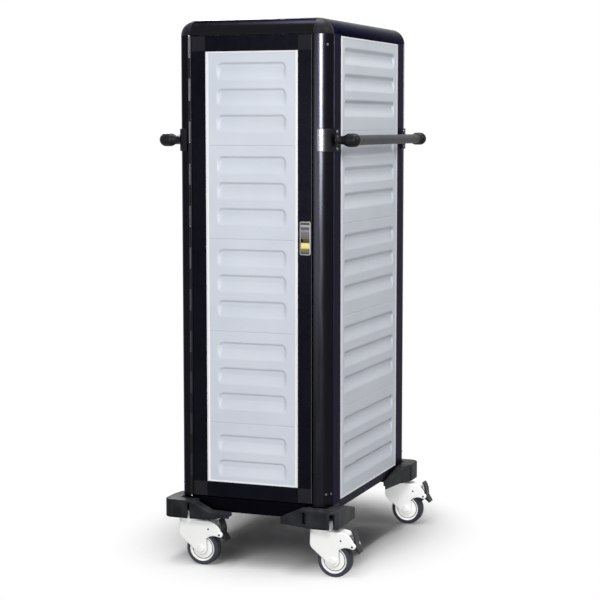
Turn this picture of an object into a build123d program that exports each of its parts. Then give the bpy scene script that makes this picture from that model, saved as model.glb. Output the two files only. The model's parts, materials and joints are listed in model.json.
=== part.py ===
from build123d import *
import math
import os

# Heated food trolley, in millimetres. Front at -Y, right at +X, floor at Z = 0,
# origin on the floor under the middle of the cabinet.

# Cabinet
body_width = 462.0
body_depth = 747.0
corner_radius = 45.0
top_z = 1578.0
post_foot_z = 198.0
wall_thickness = 36.0
jamb_wall = 3.0
post_foot_bevel = 4.0
post_line_depth = 1.2
post_line_width = 3.0
spigot_depth = 18.0

half_width = body_width / 2
half_depth = body_depth / 2
post_x = half_width - corner_radius
post_y = half_depth - corner_radius
rail_z = top_z - corner_radius
band_end_y = half_depth - 103.5
inner_x = half_width - wall_thickness
inner_y = half_depth - wall_thickness

# Ribbed panels
module_height = 265.2
module_count = 5
side_panel_z = 203.5
rib_height = 50.0
rib_pitch = 73.4
rib_first = 31.5
rib_depth = 4.5
rib_corner_radius = 20.0
rib_top_draft = 3.5
rib_foot_draft = 36.0
rib_end_draft = 11.0
panel_edge = 1.2
side_rib_length = 472.0
front_rib_length = 214.0
rear_rib_length = 280.0
panel_setback = 1.5

# Base
beam_bottom_z = 165.0
beam_top_z = 206.5
beam_half_length = 166.0
rail_bottom_z = 181.0
floor_bottom_z = 186.0
beam_groove_levels = (14.0, 27.0)
beam_groove_depth = 1.0
beam_groove_height = 1.5
floor_field_x = 180.0
floor_field_rise = 2.0
floor_field_gap = 5.0

# Door
door_left_x = -183.8
door_right_x = 182.0
door_bottom_z = 209.0
door_top_z = 1530.5
door_thickness = 40.5
stile_width = 43.0
skin_thickness = 2.0
skin_edge = 4.0
skin_field_inset = 48.0
skin_field_rise = 4.0
bead_width = 2.0
bead_depth = 1.2
seal_inset = 12.0
seal_thickness = 4.6
seal_width = 14.0
seat_y = -half_depth + door_thickness + skin_thickness + seal_thickness + 0.4
seat_thickness = 3.0
seat_inner_x = 152.0
seat_rim = 36.0
seat_sill = 28.0

# Door hinge
hinge_x = -188.5
hinge_y = -half_depth - 3.5
knuckle_radius = 3.2
hinge_pin_radius = 1.8
knuckle_count = 22
leaf_thickness = 1.0
leaf_back_y = -half_depth + 28.0
running_gap = 0.05
part_gap = 0.4

# Latch on the right door stile
latch_x = 163.5
latch_z = 964.5
latch_width = 33.0
latch_height = 95.0
latch_proud = 6.0
latch_rim = 3.0
pull_height = 42.0
pull_thickness = 6.0
slide_height = 28.0
tray_depth = 6.0
tray_thickness = 3.0
tray_lug = 4.0
ridge_count = 5
ridge_pitch = 6.0
ridge_radius = 1.5
pull_pin_radius = 1.0
key_radius = 4.0
key_slot_width = 3.2
key_rise = 15.0
bolt_radius = 6.0
bolt_inset = 20.0
bolt_drop = 25.0
strike_half_width = 10.0
strike_half_height = 30.0
strike_thickness = 1.5

# Handles
handle_x = 283.5
handle_y = 321.0
handle_z = 1238.0
grip_radius = 14.0
elbow_radius = 19.0
elbow_reach = 24.0
neck_radius = 12.0
bracket_height = 64.0
bracket_thickness = 5.0
bracket_start_deg = 14.0
bracket_tail = 30.0
bracket_bolt_offset = 23.0
bracket_bolt_radius = 5.0

# Castors
swivel_x = 204.0
swivel_y = 353.0
trail = 43.0
wheel_radius = 50.0
tyre_inner_radius = 40.0
tyre_half_width = 15.5
rim_half_width = 17.0
axle_radius = 6.0
fork_half_width = 24.0
fork_inner_half = 18.6
fork_top_z = 134.0
head_radius = 33.0
head_top_z = 161.0
stem_radius = 6.0
pedal_pivot_x = 57.0
pedal_pivot_z = 95.0
pedal_pin_radius = 3.0
pedal_hub_radius = 7.2
axle_cap_radius = 13.0
axle_cap_rise = 5.0
hub_radius = 15.0
web_half_width = 5.0
tyre_shoulder = 6.0
stem_foot_z = 114.3
pedal_half_width = 17.6

# Corner bumpers
bumper_bottom_z = 145.0
bumper_reach = 36.0
bumper_wall = 6.0
bumper_deck = 14.0
bumper_block_x = beam_half_length + 0.3
bumper_block_y = band_end_y + 0.3
bumper_nose_radius = 29.0
bumper_edge = 3.0
boss_radius = 17.0
slot_top_z = 190.0
slot_depth = 14.0
clear_gap = 0.3

# Wings of the two bumper mouldings. A wing is given by the place of its tip along the face, how far the tip
# and the rest stand off the cabinet, where it starts to taper, the line of its top and the line of its foot.
# Slots are place, width and lower end.
short_front = {
    "tip": 98.0,
    "tip_reach": 28.0,
    "turn": 200.0,
    "top": ((98.0, 171.0), (158.0, post_foot_z + 1)),
    "foot": ((98.0, 152.0), (185.0, bumper_bottom_z)),
    "slots": ((170.0, 11.0, 158.0), (253.0, 13.0, 100.0)),
}
short_side = {
    "tip": 233.0,
    "tip_reach": 33.0,
    "turn": 335.0,
    "top": ((233.0, 173.0), (258.0, 184.0), (338.0, post_foot_z + 1)),
    "foot": ((233.0, 149.0), (300.0, bumper_bottom_z)),
    "slots": (),
}
long_front = {
    "tip": 64.0,
    "tip_reach": 24.0,
    "turn": 180.0,
    "top": ((64.0, 167.0), (122.0, 168.5), (184.0, post_foot_z + 1)),
    "foot": ((64.0, 156.0), (122.0, bumper_bottom_z)),
    "slots": ((187.0, 8.0, 100.0),),
}
long_side = {
    "tip": 140.0,
    "tip_reach": 6.0,
    "turn": 335.0,
    "top": ((140.0, 176.0), (300.0, post_foot_z + 1)),
    "foot": ((140.0, 162.0), (300.0, bumper_bottom_z)),
    "slots": ((320.0, 8.0, 100.0),),
}

# Inside of the compartment
liner_thickness = 1.5
baffle_y = 240.0
ledge_reach = 34.0
ledge_pitch = 75.0
ledge_count = 16
ledge_first_z = 290.0
fan_z = 560.0
fan_y = 300.0
fan_radius = 88.0
heater_radius = 120.0
heater_tube = 4.0
heater_rings = ((258.0, 34.0), (276.0, 18.0))
outlet_x = 145.0
outlet_length = 70.0
outlet_height = 7.0
grille_rings = (28.0, 46.0, 64.0, 82.0)
grille_slot = 10.0
motor_radius = 42.0
shaft_radius = 5.0
blade_count = 12

# Service panel at the back
service_thickness = 2.0
inlet_x = -90.0
switch_x = 0.0
knob_x = 90.0
service_z = 300.0
switch_tilt_deg = 10.0
louvre_count = 6
louvre_pitch = 13.0
louvre_first_z = 372.0
louvre_x = 85.0
louvre_length = 110.0
louvre_height = 5.0

# Screws on the posts: angle round the post in degrees, and height
screw_places = ((52.0, 1502.0), (48.0, 236.0), (72.0, 236.0))
screw_radius = 3.6
screw_rise = 0.8


def block(x0, x1, y0, y1, z0, z1):
    """A box between two corners."""
    middle = Pos((x0 + x1) / 2, (y0 + y1) / 2, (z0 + z1) / 2)
    return middle * Box(abs(x1 - x0), abs(y1 - y0), abs(z1 - z0))


def rod(start, direction, length, radius):
    """A round bar from a point along a direction."""
    circle = Plane(start, z_dir=direction) * Circle(radius)
    return extrude(circle, amount=length)


def plan_prism(face, z0, z1):
    """A face drawn in plan, raised from z0 to z1."""
    return extrude(Pos(0, 0, z0) * face, amount=z1 - z0)


def side_prism(face, y0, y1):
    """A face drawn in X and Z, drawn out from y0 to y1."""
    plane = Plane((0, y1, 0), x_dir=(1, 0, 0), z_dir=(0, -1, 0))
    return extrude(plane * face, amount=y1 - y0)


def end_prism(face, x0, x1):
    """A face drawn in Y and Z, drawn out from x0 to x1."""
    plane = Plane((x0, 0, 0), x_dir=(0, 1, 0), z_dir=(1, 0, 0))
    return extrude(plane * face, amount=x1 - x0)


def polygon(*points):
    """A face with straight edges."""
    return make_face(Polyline(*points, close=True))


def rect(u0, u1, v0, v1):
    """An upright rectangle between two corners."""
    return Pos((u0 + u1) / 2, (v0 + v1) / 2) * Rectangle(u1 - u0, v1 - v0)


def flip_x(shape):
    return mirror(shape, about=Plane.YZ)


def flip_y(shape):
    return mirror(shape, about=Plane.XZ)


def at_four_corners(shape):
    """A piece made for the front right corner, and its three mirror images."""
    left = flip_x(shape)
    return [left, shape, flip_y(left), flip_y(shape)]


def save(name, *pieces):
    """Writes the separate solids of one node."""
    solids = []
    for piece in pieces:
        solids.extend(piece.solids())
    export_step(Compound(children=solids), f"parts/{name}.step")


def quarter_face(radius, wall):
    """Hollow quarter-round rail section, round side towards +u and +v."""
    outer = rect(0, radius, 0, radius) & Circle(radius)
    skin = Circle(radius - wall) & rect(wall, radius, wall, radius)
    return outer - skin


def foot_bevel():
    """Ring of waste that bevels the round foot of the front right post."""
    reach = corner_radius + 1
    waste = make_face(
        Plane.XZ
        * Polyline(
            (corner_radius - post_foot_bevel, post_foot_z),
            (reach, post_foot_z),
            (reach, post_foot_z + post_foot_bevel + 1),
            close=True,
        )
    )
    ring = Pos(post_x, -post_y) * revolve(waste, axis=Axis.Z)
    return ring & block(post_x, half_width, -half_depth, -post_y, post_foot_z, rail_z)


def make_posts():
    """Corner posts: a quarter-round chamber and a flat chamber behind it, with a shallow line between."""
    quarter = rect(post_x, half_width, -half_depth, -post_y)
    round_part = quarter & Pos(post_x, -post_y) * Circle(corner_radius)
    flat_part = rect(inner_x, half_width, -post_y, -band_end_y)
    jamb_part = rect(post_x, half_width, -post_y, -post_y + 2 * jamb_wall)
    section = round_part + flat_part + jamb_part
    room = rect(post_x + jamb_wall, half_width, -half_depth, -post_y)
    round_room = room & Pos(post_x, -post_y) * Circle(corner_radius - jamb_wall)
    flat_room = rect(
        inner_x + jamb_wall, half_width - jamb_wall, -post_y + 2 * jamb_wall, -band_end_y - jamb_wall
    )
    line_half = post_line_width / 2
    line = rect(half_width - post_line_depth, half_width + 1, -post_y - line_half, -post_y + line_half)
    face = section - round_room - flat_room - line
    post = plan_prism(face, post_foot_z, rail_z) - foot_bevel()
    for screw in make_post_screws():
        post = post - screw
    return at_four_corners(post)


def make_top_rails():
    """Rounded rails along the four top edges, between the corner caps."""
    section = quarter_face(corner_radius, jamb_wall)
    right = side_prism(Pos(post_x, rail_z) * section, -post_y, post_y)
    back = end_prism(Pos(post_y, rail_z) * section, -post_x, post_x)
    return [right, flip_x(right), back, flip_y(back)]


def make_top_caps():
    """One round corner cap, an eighth of a ball with a spigot that enters the post."""
    ball = Pos(post_x, -post_y, rail_z) * Sphere(corner_radius)
    corner = block(post_x, half_width, -half_depth, -post_y, rail_z, top_z)
    spigot_face = rect(post_x + 5, half_width, -half_depth, -post_y - 2)
    spigot_face = spigot_face & Pos(post_x, -post_y) * Circle(corner_radius - jamb_wall - 0.5)
    cap = (ball & corner) + plan_prism(spigot_face, rail_z - spigot_depth, rail_z)
    return at_four_corners(cap)


def ribbed_panel(width, height, thickness, rib_length, rib_total):
    """One wall module: outer face at Y = 0 facing -Y. Its ribs are pressed in, counted from the top edge,
    each with a steep upper edge and a long ramp below."""
    panel = block(-width / 2, width / 2, 0, thickness, 0, height)
    front_edges = panel.faces().sort_by(Axis.Y)[0].edges()
    panel = chamfer(front_edges, panel_edge)
    plane = Plane((0, 0, 0), x_dir=(1, 0, 0), z_dir=(0, -1, 0))
    bed_height = rib_height - rib_top_draft - rib_foot_draft
    bed_length = rib_length - 2 * rib_end_draft
    bed_lift = (rib_foot_draft - rib_top_draft) / 2
    bed_radius = bed_height / 2 - 0.5
    for index in range(rib_total):
        middle = height - rib_first - rib_height / 2 - index * rib_pitch
        mouth = Pos(0, middle) * RectangleRounded(rib_length, rib_height, rib_corner_radius)
        bed = Pos(0, middle + bed_lift) * RectangleRounded(bed_length, bed_height, bed_radius)
        pocket = loft([plane * mouth, plane.offset(-rib_depth) * bed])
        panel = panel - pocket
    return panel


def make_side_panels():
    """Five ribbed modules on the right side, and the left side as its mirror image."""
    width = 2 * band_end_y
    module = ribbed_panel(width, module_height, wall_thickness - panel_setback, side_rib_length, 3)
    turned = Rot(0, 0, 90) * module
    right = []
    for index in range(module_count):
        place = Pos(half_width - panel_setback, 0, side_panel_z + index * module_height)
        right.append(place * turned)
    left = [flip_x(piece) for piece in right]
    return left, right


def make_rear_panels():
    """Four ribbed modules above the service panel, facing +Y."""
    width = 2 * post_x
    module = ribbed_panel(width, module_height, wall_thickness - panel_setback, rear_rib_length, 3)
    turned = Rot(0, 0, 180) * module
    panels = []
    for index in range(1, module_count):
        panels.append(Pos(0, half_depth - panel_setback, side_panel_z + index * module_height) * turned)
    return panels


def make_base():
    """Front and rear beams with two shallow grooves, and slim side rails."""
    y0 = -half_depth
    y1 = -post_y
    section = rect(y0, y1, beam_bottom_z, beam_top_z) - rect(
        y0 + jamb_wall, y1 - jamb_wall, beam_bottom_z + jamb_wall, beam_top_z - jamb_wall
    )
    for level in beam_groove_levels:
        z = beam_bottom_z + level
        section = section - rect(y0 - 1, y0 + beam_groove_depth, z, z + beam_groove_height)
    front = end_prism(section, -beam_half_length, beam_half_length)
    rail_section = rect(inner_x, half_width, rail_bottom_z, side_panel_z) - rect(
        inner_x + jamb_wall, half_width - jamb_wall, rail_bottom_z + jamb_wall, side_panel_z - jamb_wall
    )
    right = side_prism(rail_section, -band_end_y, band_end_y)
    return [front, flip_y(front), right, flip_x(right)]


def make_floor():
    """Floor pan with cut-back corners that clear the bumper blocks, and a raised field inside."""
    wide = rect(-inner_x, inner_x, -band_end_y, band_end_y)
    long = rect(-beam_half_length, beam_half_length, -post_y, post_y)
    pan = plan_prism(wide + long, floor_bottom_z, beam_top_z)
    front = -post_y + 2 * jamb_wall + floor_field_gap
    field_face = rect(-floor_field_x, floor_field_x, front, baffle_y - floor_field_gap)
    field = plan_prism(field_face, beam_top_z, beam_top_z + floor_field_rise)
    return pan + chamfer(field.faces().sort_by(Axis.Z)[-1].edges(), 1.0)


def make_top_panel():
    """Insulated roof between the top rails."""
    slab = block(-post_x, post_x, -post_y, post_y, rail_z, top_z - 1)
    return chamfer(slab.faces().sort_by(Axis.Z)[-1].edges(), 1.0)


def make_door_seat():
    """Four strips behind the door that its seal closes against."""
    y0 = seat_y
    y1 = seat_y + seat_thickness
    low = beam_top_z + seat_sill
    high = rail_z - seat_rim
    right = block(seat_inner_x, post_x, y0, y1, beam_top_z, rail_z)
    sill = block(-seat_inner_x, seat_inner_x, y0, y1, beam_top_z, low)
    head = block(-seat_inner_x, seat_inner_x, y0, y1, high, rail_z)
    return [right, flip_x(right), sill, head]


def make_door_frame():
    """Hollow door profiles between the square corner pieces, with a light bead edge on the front."""
    front = -half_depth
    back = front + door_thickness
    z0 = door_bottom_z + stile_width
    z1 = door_top_z - stile_width
    stile_face = rect(-stile_width / 2, stile_width / 2, front, back) - rect(
        -stile_width / 2 + jamb_wall, stile_width / 2 - jamb_wall, front + jamb_wall, back - jamb_wall
    )
    bead = rect(-stile_width / 2 - 1, -stile_width / 2 + bead_width, front - 1, front + bead_depth)
    left_face = stile_face - mirror(bead, about=Plane.YZ)
    right_face = stile_face - bead
    left = plan_prism(Pos(door_left_x + stile_width / 2, 0) * left_face, z0, z1)
    right = plan_prism(Pos(door_right_x - stile_width / 2, 0) * right_face, z0, z1)
    rail_face = rect(front, back, 0, stile_width) - rect(
        front + jamb_wall, back - jamb_wall, jamb_wall, stile_width - jamb_wall
    )
    x0 = door_left_x + stile_width
    x1 = door_right_x - stile_width
    bottom = end_prism(Pos(0, door_bottom_z) * rail_face, x0, x1)
    top = end_prism(Pos(0, door_top_z - stile_width) * rail_face, x0, x1)
    well = latch_well()
    return [left, right - well, bottom, top]


def latch_well():
    """Room in the right stile for the latch body and its bolt."""
    wide = latch_width / 2 - latch_rim
    high = latch_height / 2 - latch_rim
    front = -half_depth
    well = block(latch_x - wide, latch_x + wide, front - 1, front + 30, latch_z - high, latch_z + high)
    hole = rod((latch_x, front + bolt_inset, latch_z - bolt_drop), (1, 0, 0), 40, bolt_radius + part_gap)
    return well + hole


def make_door_corners():
    """Square plastic corner pieces with rounded front edges."""
    front = -half_depth
    pieces = []
    for x0 in (door_left_x, door_right_x - stile_width):
        for z0 in (door_bottom_z, door_top_z - stile_width):
            corner = block(x0, x0 + stile_width, front, front + door_thickness, z0, z0 + stile_width)
            face = corner.faces().sort_by(Axis.Y)[0]
            pieces.append(chamfer(face.edges(), 1.0))
    return pieces


def make_door_panels():
    """Four whole ribbed modules hung from the top of the door and a short one at the bottom."""
    x0 = door_left_x + stile_width
    x1 = door_right_x - stile_width
    z0 = door_bottom_z + stile_width
    z1 = door_top_z - stile_width
    thickness = door_thickness - panel_setback
    whole = ribbed_panel(x1 - x0, module_height, thickness, front_rib_length, 3)
    short_height = z1 - z0 - (module_count - 1) * module_height
    short = ribbed_panel(x1 - x0, short_height, thickness, front_rib_length, 2)
    middle = (x0 + x1) / 2
    front = -half_depth + panel_setback
    panels = [Pos(middle, front, z0) * short]
    for index in range(module_count - 1):
        panels.append(Pos(middle, front, z0 + short_height + index * module_height) * whole)
    return panels


def door_sheet(inset):
    """A rectangle in X and Z that stays a given distance inside the door's edge."""
    return rect(door_left_x + inset, door_right_x - inset, door_bottom_z + inset, door_top_z - inset)


def make_door_inner_skin():
    """Inner door sheet with a raised middle field."""
    y0 = -half_depth + door_thickness
    skin = side_prism(door_sheet(skin_edge), y0, y0 + skin_thickness)
    y1 = y0 + skin_thickness
    return skin + side_prism(door_sheet(skin_field_inset), y1, y1 + skin_field_rise)


def make_door_seal():
    """Seal round the door: a flat foot with a rounded bulb."""
    y0 = -half_depth + door_thickness + skin_thickness
    foot_face = door_sheet(seal_inset) - door_sheet(seal_inset + seal_width)
    bulb_face = door_sheet(seal_inset + 2) - door_sheet(seal_inset + seal_width - 2)
    foot = side_prism(foot_face, y0, y0 + 2)
    bulb = side_prism(bulb_face, y0 + 2, y0 + seal_thickness)
    return foot + chamfer(bulb.faces().sort_by(Axis.Y)[-1].edges(), 1.2)


def knuckle_spans(first):
    """Heights of every second knuckle, with a small gap at each end."""
    pitch = (door_top_z - door_bottom_z) / knuckle_count
    spans = []
    for index in range(first, knuckle_count, 2):
        z0 = door_bottom_z + index * pitch
        spans.append((z0 + part_gap / 2, z0 + pitch - part_gap / 2))
    return spans


def hinge_leaf(spans, plate, strap):
    """One leaf: a plate in the door gap, with a strap and a bored knuckle at each span."""
    leaf = block(*plate, door_bottom_z, door_top_z)
    for z0, z1 in spans:
        knuckle = rod((hinge_x, hinge_y, z0), (0, 0, 1), z1 - z0, knuckle_radius)
        leaf = leaf + block(*strap, z0, z1) + knuckle
    bore = rod(
        (hinge_x, hinge_y, door_bottom_z - 1),
        (0, 0, 1),
        door_top_z - door_bottom_z + 2,
        hinge_pin_radius + running_gap,
    )
    return leaf - bore


def make_hinge():
    """Full-height hinge at the left front edge."""
    frame_x = -post_x
    frame_plate = (frame_x, frame_x + leaf_thickness, -half_depth, leaf_back_y)
    frame_strap = (frame_x - 0.3, frame_x + leaf_thickness - 0.3, hinge_y, -half_depth)
    frame_leaf = hinge_leaf(knuckle_spans(0), frame_plate, frame_strap)
    door_plate = (door_left_x - leaf_thickness, door_left_x, hinge_y - 0.9, leaf_back_y)
    door_strap = (hinge_x + 2.2, door_left_x, hinge_y - 0.9, hinge_y + 0.1)
    door_leaf = hinge_leaf(knuckle_spans(1), door_plate, door_strap)
    height = door_top_z - door_bottom_z
    pin = rod((hinge_x, hinge_y, door_bottom_z - 1), (0, 0, 1), height + 2, hinge_pin_radius)
    for z in (door_bottom_z - 2.5, door_top_z + 1):
        pin = pin + rod((hinge_x, hinge_y, z), (0, 0, 1), 1.5, hinge_pin_radius + 1.2)
    return frame_leaf, door_leaf, pin


def make_latch():
    """Latch: bezel and body, ridged pull above, lock slide below, and the bolt behind."""
    front = -half_depth
    face_y = front - latch_proud
    wide = latch_width / 2
    high = latch_height / 2
    bezel_face = RectangleRounded(latch_width, latch_height, 5.0)
    window = RectangleRounded(latch_width - 2 * latch_rim, latch_height - 2 * latch_rim, 2.5)
    bezel = side_prism(Pos(latch_x, latch_z) * (bezel_face - window), face_y, front)
    bezel = fillet(bezel.faces().sort_by(Axis.Y)[0].outer_wire().edges(), 1.5)
    x0 = latch_x - wide + latch_rim + clear_gap
    x1 = latch_x + wide - latch_rim - clear_gap
    low = latch_z - high + latch_rim
    top = latch_z + high - latch_rim
    tray_x = wide - latch_rim
    tray_y = front + tray_depth
    tray = block(latch_x - tray_x, latch_x + tray_x, tray_y, tray_y + tray_thickness, low, top)
    for z in (low, top - tray_lug):
        tray = tray + block(latch_x - tray_x, latch_x + tray_x, face_y + 2, tray_y, z, z + tray_lug)
    pull_z1 = top - tray_lug - clear_gap
    pull_z0 = pull_z1 - pull_height
    pull_y = face_y + 1.5
    pull = block(x0, x1, pull_y, pull_y + pull_thickness, pull_z0, pull_z1)
    pull = fillet(pull.edges().filter_by(Axis.X).group_by(Axis.Z)[-1], pull_thickness / 2 - 0.1)
    for index in range(ridge_count):
        z = pull_z0 + 5 + index * ridge_pitch
        pull = pull + rod((x0 + 2, pull_y + 0.2, z), (1, 0, 0), x1 - x0 - 4, ridge_radius)
    pivot_z = pull_z1 - pull_thickness / 2
    pivot_y = pull_y + pull_thickness / 2
    pull = pull - rod((x0 - 1, pivot_y, pivot_z), (1, 0, 0), x1 - x0 + 2, pull_pin_radius + running_gap)
    pin = rod((latch_x - tray_x, pivot_y, pivot_z), (1, 0, 0), 2 * tray_x, pull_pin_radius)
    slide_z0 = low + tray_lug + clear_gap
    slide = block(x0, x1, face_y + 1.8, front + 5, slide_z0, slide_z0 + slide_height)
    slide = fillet(slide.faces().sort_by(Axis.Y)[0].edges(), 1.2)
    key_z = slide_z0 + key_rise
    keyhole = rod((latch_x, face_y, key_z), (0, 1, 0), 4, key_radius)
    key_half = key_slot_width / 2
    keyway = block(latch_x - key_half, latch_x + key_half, face_y, front - 2.5, slide_z0 + 5, key_z)
    slide = slide - keyhole - keyway
    bolt_start = latch_x - 8
    bolt_length = door_right_x - 1 - bolt_start
    bolt = rod((bolt_start, front + bolt_inset, latch_z - bolt_drop), (1, 0, 0), bolt_length, bolt_radius)
    return bezel + tray, pull, pin, slide, bolt


def strike_hole():
    """Hole in the right post that the bolt is thrown into."""
    start = (post_x - 1, -half_depth + bolt_inset, latch_z - bolt_drop)
    return rod(start, (1, 0, 0), 14, bolt_radius + 1.0)


def strike_plate(x0):
    """The strike plate's block in the right post, from a given depth."""
    y = -half_depth + bolt_inset
    z = latch_z - bolt_drop
    wide = strike_half_width
    high = strike_half_height
    return block(x0, post_x + strike_thickness, y - wide, y + wide, z - high, z + high)


def make_strike():
    """Strike plate let into the right post around the bolt hole."""
    return strike_plate(post_x) - strike_hole()


def make_handle_elbow():
    """Front right handle elbow: a neck from the bracket, a domed bulb, and a collar that takes the grip."""
    root_x = half_width + bracket_thickness
    bulb_x = handle_x + elbow_reach - elbow_radius
    cone_x = handle_x - elbow_radius
    profile = make_face(
        [
            Line((root_x, 0), (root_x, neck_radius + 4)),
            Line((root_x, neck_radius + 4), (root_x + 6, neck_radius)),
            Line((root_x + 6, neck_radius), (cone_x - 8, neck_radius)),
            Line((cone_x - 8, neck_radius), (cone_x + 6, elbow_radius)),
            Line((cone_x + 6, elbow_radius), (bulb_x, elbow_radius)),
            CenterArc((bulb_x, 0), elbow_radius, 0, 90),
            Line((bulb_x + elbow_radius, 0), (root_x, 0)),
        ]
    )
    bulb = Pos(0, -handle_y, handle_z) * revolve(profile, axis=Axis.X)
    collar_length = elbow_radius + 4
    collar = rod((handle_x, -handle_y, handle_z), (0, 1, 0), collar_length, grip_radius + 2)
    return bulb + collar


def make_handle_bracket():
    """Front right bracket: a saddle bent round the post."""
    centre = (post_x, -post_y)
    outer = corner_radius + bracket_thickness
    ring = Pos(*centre) * (Circle(outer) - Circle(corner_radius))
    start = math.radians(bracket_start_deg)
    reach = 2 * outer
    edge_point = (post_x + reach * math.sin(start), -post_y - reach * math.cos(start))
    wedge = polygon(centre, edge_point, (post_x + reach, -post_y - reach), (post_x + reach, -post_y))
    tail = rect(half_width, half_width + bracket_thickness, -post_y, -post_y + bracket_tail)
    saddle_face = (ring & wedge) + tail
    low = handle_z - bracket_height / 2
    return plan_prism(saddle_face, low, low + bracket_height)


def make_bracket_bolts():
    """Two domed bolts on the front right bracket, above and below the neck."""
    bolts = []
    x = half_width + bracket_thickness
    for offset in (-bracket_bolt_offset, bracket_bolt_offset):
        head = rod((x, -handle_y + 4, handle_z + offset), (1, 0, 0), 3.0, bracket_bolt_radius)
        bolts.append(chamfer(head.edges().sort_by(Axis.X)[-1], 1.2))
    return bolts


def make_grip():
    """Right handle grip with shallow rings near both ends."""
    end = handle_y - elbow_radius - 4
    grip = rod((handle_x, -end, handle_z), (0, 1, 0), 2 * end, grip_radius)
    for y in (-end + 10, end - 12):
        band = rod((handle_x, y, handle_z), (0, 1, 0), 2, grip_radius + 1)
        core = rod((handle_x, y, handle_z), (0, 1, 0), 2, grip_radius - 1)
        grip = grip - (band - core)
    return grip


def fork_outline():
    """Side view of a castor fork: X from the wheel centre, Z from the floor."""
    return make_face(
        [
            Line((-58, 134), (20, 134)),
            ThreePointArc((20, 134), (48, 124), (61, 105)),
            ThreePointArc((61, 105), (67, 94), (60, 87)),
            Line((60, 87), (43, 90)),
            ThreePointArc((43, 90), (28, 88), (16, 80)),
            Line((16, 80), (17.5, 54.2)),
            ThreePointArc((17.5, 54.2), (2, 32.1), (-16, 41.75)),
            Line((-16, 41.75), (-62, 80)),
            ThreePointArc((-62, 80), (-68, 87), (-71, 96)),
            Line((-71, 96), (-70, 122)),
            ThreePointArc((-70, 122), (-66, 131), (-58, 134)),
        ]
    )


def make_fork():
    """Castor fork with the swivel axis at X = Y = 0: two cheeks, a closed crown and a round head."""
    shell = side_prism(Pos(trail, 0) * fork_outline(), -fork_half_width, fork_half_width)
    pocket = polygon(
        (-90, 20), (-90, 92), (-65, 104), (-62, 118), (36, 118), (46, 110), (46, 150), (100, 150), (100, 20)
    )
    shell = shell - side_prism(Pos(trail, 0) * pocket, -fork_inner_half, fork_inner_half)
    head = rod((0, 0, fork_top_z - 8), (0, 0, 1), head_top_z - fork_top_z + 8, head_radius)
    head = chamfer(head.edges().sort_by(Axis.Z)[-1], 2.0)
    fork = shell + head
    fork = fork - rod((0, 0, 100), (0, 0, 1), 80, stem_radius + running_gap)
    axle_hole = rod((trail, -40, wheel_radius), (0, 1, 0), 80, axle_radius)
    pin_hole = rod((trail + pedal_pivot_x, -40, pedal_pivot_z), (0, 1, 0), 80, pedal_pin_radius)
    return fork - axle_hole - pin_hole


def make_castor_pins():
    """Wheel axle with its two domed caps, and the pin of the brake pedal."""
    cap_y = fork_half_width + axle_cap_rise
    half_face = polygon(
        (0, 0),
        (axle_radius, 0),
        (axle_radius, fork_half_width),
        (axle_cap_radius, fork_half_width),
        (axle_cap_radius - axle_cap_rise, cap_y),
        (0, cap_y),
    )
    profile = half_face + flip_y(half_face)
    axle = Pos(trail, 0, wheel_radius) * revolve(profile, axis=Axis.Y)
    length = 2 * fork_half_width + 2
    start = (trail + pedal_pivot_x, -length / 2, pedal_pivot_z)
    return [axle, rod(start, (0, 1, 0), length, pedal_pin_radius)]


def make_wheel():
    """Wheel rim with hub, dished web and seat for the tyre, and the tyre with a rounded tread."""
    bore = axle_radius + running_gap
    seat = tyre_inner_radius
    web = web_half_width
    rim_face = polygon(
        (bore, -rim_half_width),
        (hub_radius, -rim_half_width),
        (hub_radius + 3, -web),
        (seat - 7, -web),
        (seat - 4, -tyre_half_width),
        (seat, -tyre_half_width),
        (seat, tyre_half_width),
        (seat - 4, tyre_half_width),
        (seat - 7, web),
        (hub_radius + 3, web),
        (hub_radius, rim_half_width),
        (bore, rim_half_width),
    )
    shoulder = tyre_shoulder
    tread = tyre_half_width - shoulder
    wall = wheel_radius - shoulder
    mid = wheel_radius - shoulder * (1 - math.cos(math.pi / 4))
    side = tread + shoulder * math.sin(math.pi / 4)
    tyre_face = make_face(
        [
            Line((seat, -tyre_half_width), (wall, -tyre_half_width)),
            ThreePointArc((wall, -tyre_half_width), (mid, -side), (wheel_radius, -tread)),
            Line((wheel_radius, -tread), (wheel_radius, tread)),
            ThreePointArc((wheel_radius, tread), (mid, side), (wall, tyre_half_width)),
            Line((wall, tyre_half_width), (seat, tyre_half_width)),
            Line((seat, tyre_half_width), (seat, -tyre_half_width)),
        ]
    )
    place = Pos(trail, 0, wheel_radius)
    return place * revolve(rim_face, axis=Axis.Y), place * revolve(tyre_face, axis=Axis.Y)


def make_pedal():
    """Brake pedal: hub on its pin, curved release plate above, toe below and a shoe that faces the tyre."""
    arm = make_face(
        [
            ThreePointArc((65, 96), (64.5, 119), (55, 140)),
            Line((55, 140), (51, 139)),
            ThreePointArc((51, 139), (60, 118), (60, 97)),
            Line((60, 97), (65, 96)),
        ]
    )
    toe = polygon((57, 102), (66, 98), (77, 81), (78, 76), (74, 74.5), (68, 82), (58, 88))
    shoe = polygon((63, 91), (51, 99), (44.3, 83.1), (50.9, 78.7))
    hub = Pos(pedal_pivot_x, pedal_pivot_z) * Circle(pedal_hub_radius)
    tip = Pos(47.6, 80.9) * Circle(4.0)
    face = arm + toe + shoe + hub + tip
    pedal = side_prism(Pos(trail, 0) * face, -pedal_half_width, pedal_half_width)
    start = (trail + pedal_pivot_x, -40, pedal_pivot_z)
    hole = rod(start, (0, 1, 0), 80, pedal_pin_radius + running_gap)
    return pedal - hole


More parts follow.
